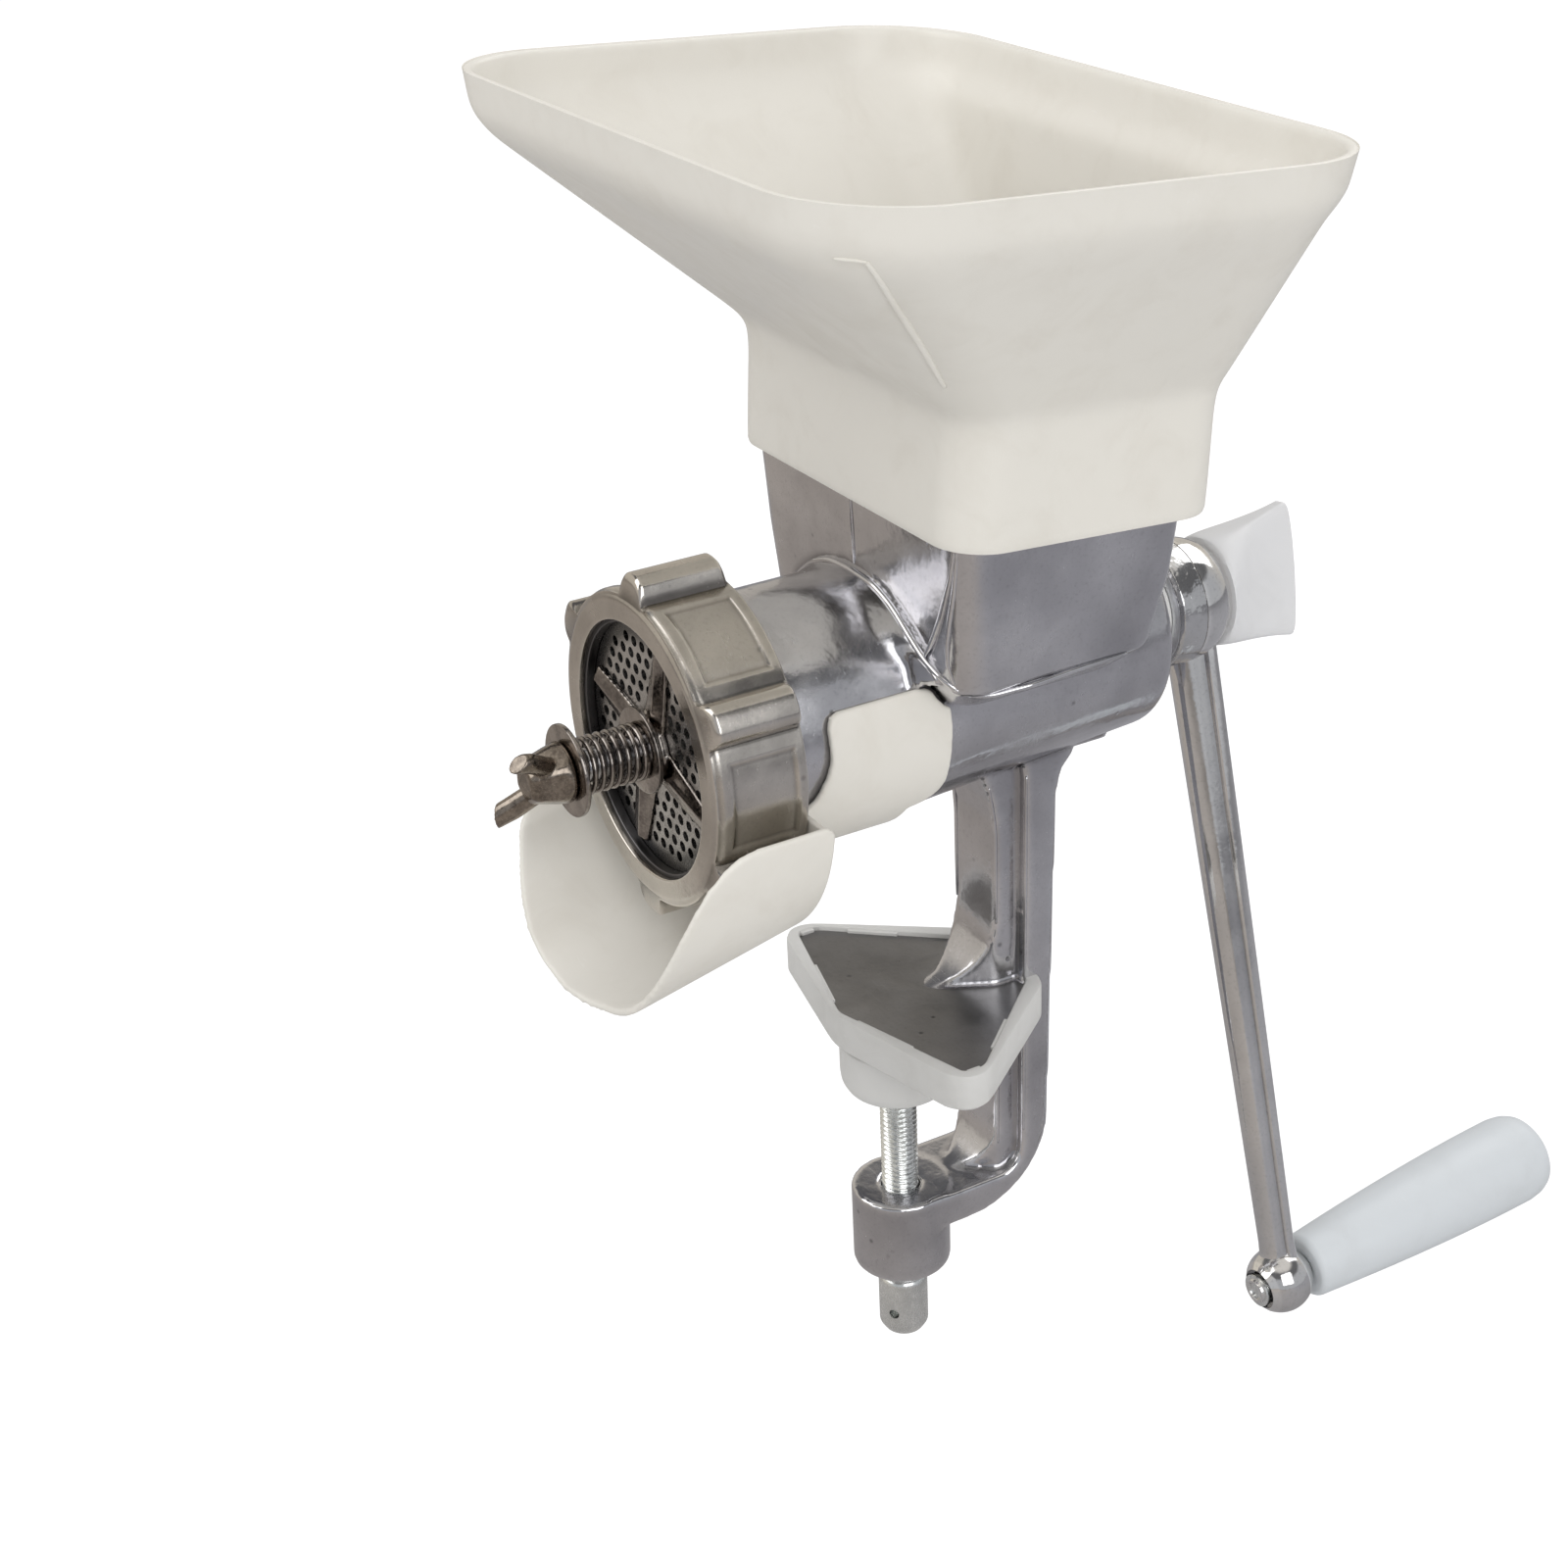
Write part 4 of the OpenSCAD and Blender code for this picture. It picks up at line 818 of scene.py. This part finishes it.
# Crank with its rod, rivet and hub, then the grip on its pin and the thumb knob.
def makeHandle():
    s = handleShape
    half = np.radians(np.linspace(-150, -30, 19))
    arc = np.stack([np.cos(half), np.sin(half)], -1) * 0.5 * (s["rodTop"] + s["rodLow"])
    mid = 0.5 * (s["finTop"] + s["finLow"])
    right = s["rodSide"] + [(mid - 0.5, 0.95), (mid - 0.1, 1.2), (mid, 1.7), (mid, 3.2), (mid - 0.2, 3.6),
                            (mid - 0.8, 3.8), (2.5, 4.0)]
    section = np.concatenate([arc, right, [(-a, b) for a, b in right[::-1]]])
    down = np.linspace(0, 1, s["rodRows"])
    top, low = -s["hub"] + 4, -s["length"] + s["ball"] * 0.6
    path = pointsOf(0 * down, s["armY"], top + (low - top) * down)
    wide = 1 + (s["rodTop"] / (0.5 * (s["rodTop"] + s["rodLow"])) - 1) * (1 - 2 * down)
    wide = wide + 0.1 * np.exp(-((down - 1) / 0.02) ** 2)
    rod = swept(path, section[None] * wide[:, None, None] * np.array((1.0, -1.0)), (1, 0, 0))
    r = s["ball"]
    turn = np.radians(np.linspace(128, 30, 30))
    sphere = [(r * math.sin(a), r * math.cos(a)) for a in turn]
    ball = turned(s["rivet"] + sphere + [(0, sphere[-1][1])], 96)
    lip = turned(rounded(s["rivetLip"], 0.2, 3), 64)
    crank = meshObject("crankArm", joined([atCrank(rod), atPin(ball), atPin(lip)]))
    place(crank, "shaft", looks["crank"], ["crank"], 38, tone=2)
    front, back, hub = s["hubFront"], s["hubBack"], s["hub"]
    bandEnd = front + s["band"]
    loop = [(0, front), (9.5, front), (12, front), (hub - 1.0, front),
            (hub, front + 0.8), (hub, bandEnd - 0.3), (hub - 0.25, bandEnd), (0, bandEnd)]
    band = atCrank(turned(rounded(loop, 0.3, 3), 128))
    place(meshObject("hubBand", band), "shaft", looks["band"], [], 45)
    disc = turned(rounded([(0, front - 0.12), (hub - 1.3, front - 0.12), (hub - 0.9, front + 0.3),
                           (0, front + 0.3)], 0.1, 2), 96)
    place(meshObject("hubFace", atCrank(disc)), "shaft", looks["face"], [], 45)
    reach = back - bandEnd
    dome = [(0, bandEnd), (hub - 0.05, bandEnd)] + [(hub - 0.05 - 3.6 * t ** 2.2, bandEnd + reach * t)
                                                for t in np.linspace(0.05, 1, 16)] + [(0, back)]
    place(meshObject("hubRear", atCrank(turned(dome, 128))), "shaft", looks["crank"], [], 45)
    end = s["gripLength"]
    near, far = s["near"], s["far"]
    outline = [(3.58, 0.0), (near - 1.1, 0.0), (near, 1.1), (near + 0.2, 4)]
    for k in range(1, 15):
        t = k / 14
        outline.append((near + 0.2 + (far - near - 0.2) * (1 - (1 - t) ** 1.7), 4 + (end - 16) * t))
    outline += [(far, end - 8), (far - 0.5, end - 4.6), (far - 1.6, end - 2.2), (far - 3.6, end - 0.6),
                (far - 6, end), (0, end), (0, end - 8), (5.4, end - 8), (5.4, end - 12.3), (3.58, end - 12.3)]
    shape = turned(rounded(outline, 0.7, 4, True), 96, True)
    grip = meshObject("crankGrip", atPin((shape[0] + np.array((0, s["gripGap"], 0)), shape[1])))
    place(grip, "grip", looks["white"], ["grip"], 40)
    rows = []
    around = evenAngles(96)
    nearEnd = [(0, 0), (0, 0.93), (0.004, 0.985), (0.02, 1)]
    farEnd = [(0.985, 0.985), (0.997, 0.95), (1, 0.9), (1, 0)]
    for t, shrink in nearEnd + [(t, 1) for t in np.linspace(0.06, 0.965, 26)] + farEnd:
        tall = s["knobTall"] + 0.6 * t + 3.1 * t ** 1.8
        thin = s["knobThin"] + 11.7 * (1 - t) ** 2.1
        power = 2 / (2.0 + 5.0 * min(1, t * 1.6))
        c, q = np.cos(around), np.sin(around)
        x = np.sign(c) * np.abs(c) ** power * thin * shrink
        z = np.sign(q) * np.abs(q) ** power * tall * shrink
        rows.append(np.stack([x, s["hubBack"] + 0.1 + s["knobLength"] * t - 1.1 * (z / 18) ** 2 * t, z], -1))
    verts = spun(np.concatenate(rows), math.radians(s["knobTurn"]))
    knob = meshObject("thumbKnob", onAxis((verts, gridFaces(len(rows), len(around)))))
    place(knob, "knob", looks["knob"], ["thumb_knob"], 50)


makeHandle()

# Knife, spring, washers and wing nut
tensionShape = {"knifeBack": 3.95, "knifeThick": 2.4, "washerThick": 1.2, "rearFront": 0.3,
                "rearRadius": 10.4, "frontRadius": 11.0, "springFront": 17.0, "springRadius": 6.9,
                "wire": 0.65, "turns": 9, "stud": 4.0, "knifeReach": 27.6, "knifeTurn": -70.0,
                "armLead": -5.0, "armTrail": 4.7,
                "ears": [([(2.0, -21.5, 2.4), (4.6, -26.0, 5.4), (6.2, -29.4, 7.6), (6.9, -32.4, 8.6)],
                          (2.3, 2.0), (0.2, 0.0, 0.6)),  # path, half widths, slant of the end
                         ([(-2.4, -21, -3.0), (-5.2, -25, -6.4), (-7.6, -29.2, -9.6), (-8.9, -32.2, -11.2)],
                          (2.8, 2.4), (-0.35, 0.0, 0.35))]}


# One limb of the wing nut: a drawn rod with a flattened, slanting end.
def nutEar(path, size, slant):
    path = curveOf(path, 26)
    t = np.linspace(0, 1, 26)
    fat = np.interp(t, (0, 0.3, 0.75, 1), (0.8, 1.0, 1.05, 1.0))
    section = circleOf(1.0, 24)[None] * (fat[:, None, None] * np.array(size))
    verts, faces = swept(path, section, (0.25, 0, 1))
    rows = verts.reshape(26, 24, 3)
    away = path[-1] - path[-2]
    away /= np.linalg.norm(away)
    rows[-3:] -= away * ((rows[-3:] - path[-3:, None]) @ np.array(slant))[..., None]
    return rows.reshape(-1, 3), faces


# Wing nut: a squeezed turned boss and two drawn ears under one skin.
def makeNut():
    s = tensionShape
    back, front = -s["springFront"] - s["washerThick"] - 0.05, -s["springFront"] - s["washerThick"] - 7.05
    loop = rounded([(0.0, front - 3.4), (4.4, front - 3.4), (5.7, front - 1.8), (6.3, front + 0.4),
                    (6.9, front + 2.6), (7.4, front + 4.2), (7.4, back - 0.8), (6.6, back), (0.0, back)],
                   0.6, 4)
    verts, faces = turned(loop, 96)
    x, y, z = verts.T
    angle = np.arctan2(z, x)
    squeeze = 1 - 0.09 * (0.5 + 0.5 * np.cos(6 * angle)) * unit((back - 0.8 - y) / 2)
    shells = [(pointsOf(x * squeeze, y, z * squeeze), faces)] + [nutEar(*ear) for ear in s["ears"]]
    nut = blended("wingNut", [onAxis(k) for k in shells], 0.32, 3)
    place(nut, "wing_nut", looks["nut"], ["wing_nut"])


# Knife: a hub and four arms, each a tapering section with a raised crest, under one skin.
def makeKnife():
    s = tensionShape
    low, high = s["knifeBack"] - s["knifeThick"], s["knifeBack"]
    shells = [turned([(0, low), (8.3, low), (9.0, low + 0.7), (9.0, high), (0, high)], 64)]
    for quarter in range(4):
        rows = []
        for share in np.linspace(0, 1, 24):
            out = 4 + (s["knifeReach"] - 4) * share
            lead = s["armLead"] + 2.9 * share - 0.3 * math.sin(math.pi * share)
            trail = s["armTrail"] - 0.5 * share
            crest = lead + (trail - lead) * (0.42 + 0.2 * share)
            top = low + 0.1 + 0.5 * share
            rows.append([(out, high, lead), (out, low + 1.5, lead), (out, top + 0.1, crest - 0.45),
                         (out, top, crest), (out, low + 1.0, crest + 0.6), (out, low + 1.7, trail - 0.3),
                         (out, high, trail)])
        rows = np.array(rows)
        arm = spun(rows.reshape(-1, 3), math.radians(s["knifeTurn"] + 90 * quarter))
        shells.append((arm, tubeFaces(*rows.shape[:2])))
    knife = blended("knifeCross", [onAxis(k) for k in shells], 0.4, 2)
    place(knife, "shaft", looks["steel"], ["knife"], tone=2)


# Washers, the spring as a wire along a helix, the nut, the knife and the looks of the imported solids.
def makeTension():
    s = tensionShape
    bore = s["stud"] + 0.15
    pressed = -s["springFront"] - s["washerThick"]
    for name, node, body, radius, front in (
            ("rearWasher", "rear_washer", "shaft", s["rearRadius"], s["rearFront"]),
            ("frontWasher", "front_washer", "tension_washer", s["frontRadius"], pressed)):
        back = front + s["washerThick"]
        loop = rounded([(bore, front), (radius, front), (radius, back), (bore, back)], 0.35, 4, True)
        place(meshObject(name, onAxis(turned(loop, 96, True))), body, looks["steel"], [node], 50, 0)
    wire, turns = s["wire"], s["turns"]
    low, high = -s["springFront"] + wire + 0.05, s["rearFront"] - wire - 0.05
    t = np.linspace(0, 1, turns * 40 + 1)
    share = 1 / turns
    rise = np.interp(t, (0, share, 1 - share, 1), (0, 0.03, 0.97, 1))
    angle = 2 * math.pi * turns * t
    mid = s["springRadius"] - wire
    path = np.stack([mid * np.cos(angle), low + (high - low) * rise, mid * np.sin(angle)], -1)
    side = np.stack([np.cos(angle), 0 * angle, np.sin(angle)], -1)
    coil = meshObject("tensionSpring", onAxis(swept(path, circleOf(wire, 12), side)))
    place(coil, "shaft", looks["steel"], ["spring"], 60, 0)
    makeNut()
    makeKnife()
    for node, look in (("perforated_plate", "plate"), ("auger", "cast"), ("plate_pin", "steel"),
                       ("rear_bush", "nylon"), ("thrust_washer", "nylon"), ("crank_pin", "zinc"),
                       ("knob_stud", "zinc")):
        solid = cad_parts[node]
        solid.data.materials.clear()
        solid.data.materials.append(looks[look])
        solid.data.set_sharp_from_angle(angle=math.radians(35))


makeTension()

# Clamp pad and screw
clampShape = {"padLow": -17.0, "padHigh": -2.6, "padRadius": 14.8, "screwRadius": 5.0, "pitch": 1.5,
              "tip": -8.41, "headTop": -76.0, "headLength": 19.0, "headRadius": 6.6, "crossHole": 1.4,
              "depth": 0.85, "taper": 0.5, "around": 48}


# Turns a shape around the barrel's axis into one around the clamp screw.
def standing(shell):
    x, y, z = shell[0].T
    return pointsOf(x, -z, y), shell[1]


# Clamp pad, then the screw: a radius that follows the thread's phase, and a head with its cross hole.
def makeClamp():
    s = clampShape
    low, high, radius = s["padLow"], s["padHigh"], s["padRadius"]
    bore = s["screwRadius"] + 0.06
    loop = rounded([(bore, low), (radius - 3.0, low), (radius - 1.6, low + 0.7), (radius - 0.3, low + 3.0),
                    (radius, low + 5.5), (radius, high), (0.0, high), (0.0, low + 8.64), (bore, low + 8.64)],
                   0.8, 4, True)
    pad = meshObject("clampPad", standing(turned(loop, 96, True)))
    place(pad, "pad", looks["rubber"], ["clamp_pad"], 45)
    around, pitch = s["around"], s["pitch"]
    bottom = s["headTop"] - 0.5
    rows = int((s["tip"] - bottom) / pitch * 10)
    height = np.linspace(bottom, s["tip"], rows)[:, None]
    angle = evenAngles(around)[None]
    phase = (height / pitch + angle / (2 * math.pi)) % 1.0
    tooth = np.clip(np.abs(phase - 0.5) * 2, 0.08, 0.86)
    fade = unit(np.minimum(height - bottom, s["tip"] - height) / 2)
    r = s["screwRadius"] - 0.02 - (1 - tooth) * s["depth"] * fade - (1 - fade) * s["taper"]
    thread = pointsOf(r * np.cos(angle), r * np.sin(angle), height)
    faces = tubeFaces(rows, around)
    top, foot, head = s["headTop"], s["headTop"] - s["headLength"], s["headRadius"]
    cap = rounded([(0.0, top - 0.2), (s["screwRadius"] - 0.3, top - 0.2), (head - 0.4, top - 1.5),
                   (head, top - 2.4), (head, foot + 2.4), (head - 1.4, foot + 0.2), (head - 2.2, foot),
                   (0.0, foot)], 0.6, 4)
    capShell = standing(turned(cap, 96))
    headPiece = meshObject("screwHeadBlank", capShell)
    drill = meshObject("drill", swept([(-15, 0, 0), (15, 0, 0)], circleOf(s["crossHole"], 24), (0, 0, 1)))
    drill.matrix_world = Matrix.Translation((0, 0, (top - s["headLength"] * 0.6) * mm)) @ Matrix.Rotation(
        math.radians(-55), 4, "Z")
    cut = headPiece.modifiers.new("cut", "BOOLEAN")
    cut.object = drill
    cut.operation = "DIFFERENCE"
    cut.solver = "EXACT"
    bpy.context.view_layer.update()
    applied(headPiece)
    bpy.data.objects.remove(drill)
    headFaces = [list(face.vertices) for face in headPiece.data.polygons]
    headShell = readOut(headPiece.data.vertices, "co") / mm, headFaces
    bpy.data.objects.remove(headPiece)
    screw = meshObject("clampScrew", joined([(thread, faces), headShell]))
    place(screw, "screw", looks["zinc"], ["clamp_screw"], 32, 0)


makeClamp()

# Floor, backdrop and light; the floor's height and the lamps are in metres
studio = {"floor": -0.119, "half": 6000, "white": 1.33, "warm": (0.4, 0.36, 0.32, 1),
          "cool": (0.33, 0.33, 0.35, 1), "high": (0.83, 0.8, 0.755, 1), "dim": (0.16, 0.16, 0.165, 1),
          "soft": (0.8, 0.8, 0.8, 1), "left": (0.68, 0.635, 0.565, 1), "right": (0.52, 0.53, 0.55, 1),
          "strength": 0.9,
          "lamps": [("key", (-0.35, -0.95, 1.05), (0, 0, 0.1), 1.1, 7.0),  # name, place, aim, size, power
                    ("fill", (1.25, -0.1, 0.75), (0, 0.03, 0.05), 1.0, 7.0),
                    ("back", (-0.3, 0.9, 0.9), (0, 0, 0.1), 0.8, 3.5)]}


# Pale ground that reads as white to the camera and keeps a share of its own shading.
def litGround(name, keep):
    material = bpy.data.materials.new(name)
    n = freshNodes(material)
    at = n.add("SeparateXYZ", {0: n.add("TexCoord").outputs["Object"]})
    side = n.ramp(n.math("SUBTRACT", at.outputs["X"], at.outputs["Y"]), -0.5, 0.5)
    tint = n.mix(n.ramp(at.outputs["Y"], -0.3, 0.3), studio["warm"], studio["cool"])
    tint = n.mix(n.times(side, 0.3), tint, studio["cool"])
    path = n.add("LightPath")
    tint = n.mix(path.outputs["Is Glossy Ray"], grey(0.72), tint)
    pale = n.add("BsdfDiffuse", {"Color": tint})
    bright = n.add("Emission", {"Color": grey(1.0), "Strength": studio["white"]})
    share = n.times(path.outputs["Is Camera Ray"], 1 - keep)
    mixed = n.add("MixShader", {0: share, 1: pale.outputs[0], 2: bright.outputs[0]})
    n.add("OutputMaterial", {0: mixed.outputs[0]})
    return material


# Ground, a world with soft bands of light, and three lamps.
def makeStudio():
    half = studio["half"]
    corners = np.array([(-half, -half, 0), (half, -half, 0), (half, half, 0), (-half, half, 0)], float)
    ground = meshObject("floor", (corners, [[0, 1, 2, 3]]))
    ground.location.z = studio["floor"]
    ground.data.materials.append(litGround("paleFloor", 0.35))
    world = bpy.data.worlds.new("studio")
    bpy.context.scene.world = world
    n = freshNodes(world)
    at = n.add("SeparateXYZ", {0: n.add("TexCoord").outputs["Generated"]})
    path = n.add("LightPath")
    around = n.mix(n.ramp(at.outputs["X"], -0.5, 0.5), studio["left"], studio["right"])
    around = n.mix(n.ramp(at.outputs["Z"], 0.5, 0.62), around, studio["dim"])
    around = n.mix(n.ramp(at.outputs["Z"], 0.78, 0.9), around, studio["high"])
    around = n.mix(path.outputs["Is Glossy Ray"], studio["soft"], around)
    plain = n.add("Background", {"Color": around, "Strength": studio["strength"]})
    white = n.add("Background", {"Color": grey(1.0), "Strength": 1.0})
    mixed = n.add("MixShader", {0: path.outputs["Is Camera Ray"], 1: plain.outputs[0], 2: white.outputs[0]})
    n.add("OutputWorld", {0: mixed.outputs[0]})
    for name, at, aim, size, power in studio["lamps"]:
        lamp = bpy.data.lights.new(name, "AREA")
        lamp.energy = power
        lamp.size = size
        holder = bpy.data.objects.new(name, lamp)
        holder.location = at
        holder.rotation_euler = (Vector(aim) - Vector(at)).to_track_quat("-Z", "Y").to_euler()
        bpy.context.scene.collection.objects.link(holder)


makeStudio()
bpy.context.scene.view_settings.view_transform = "Standard"
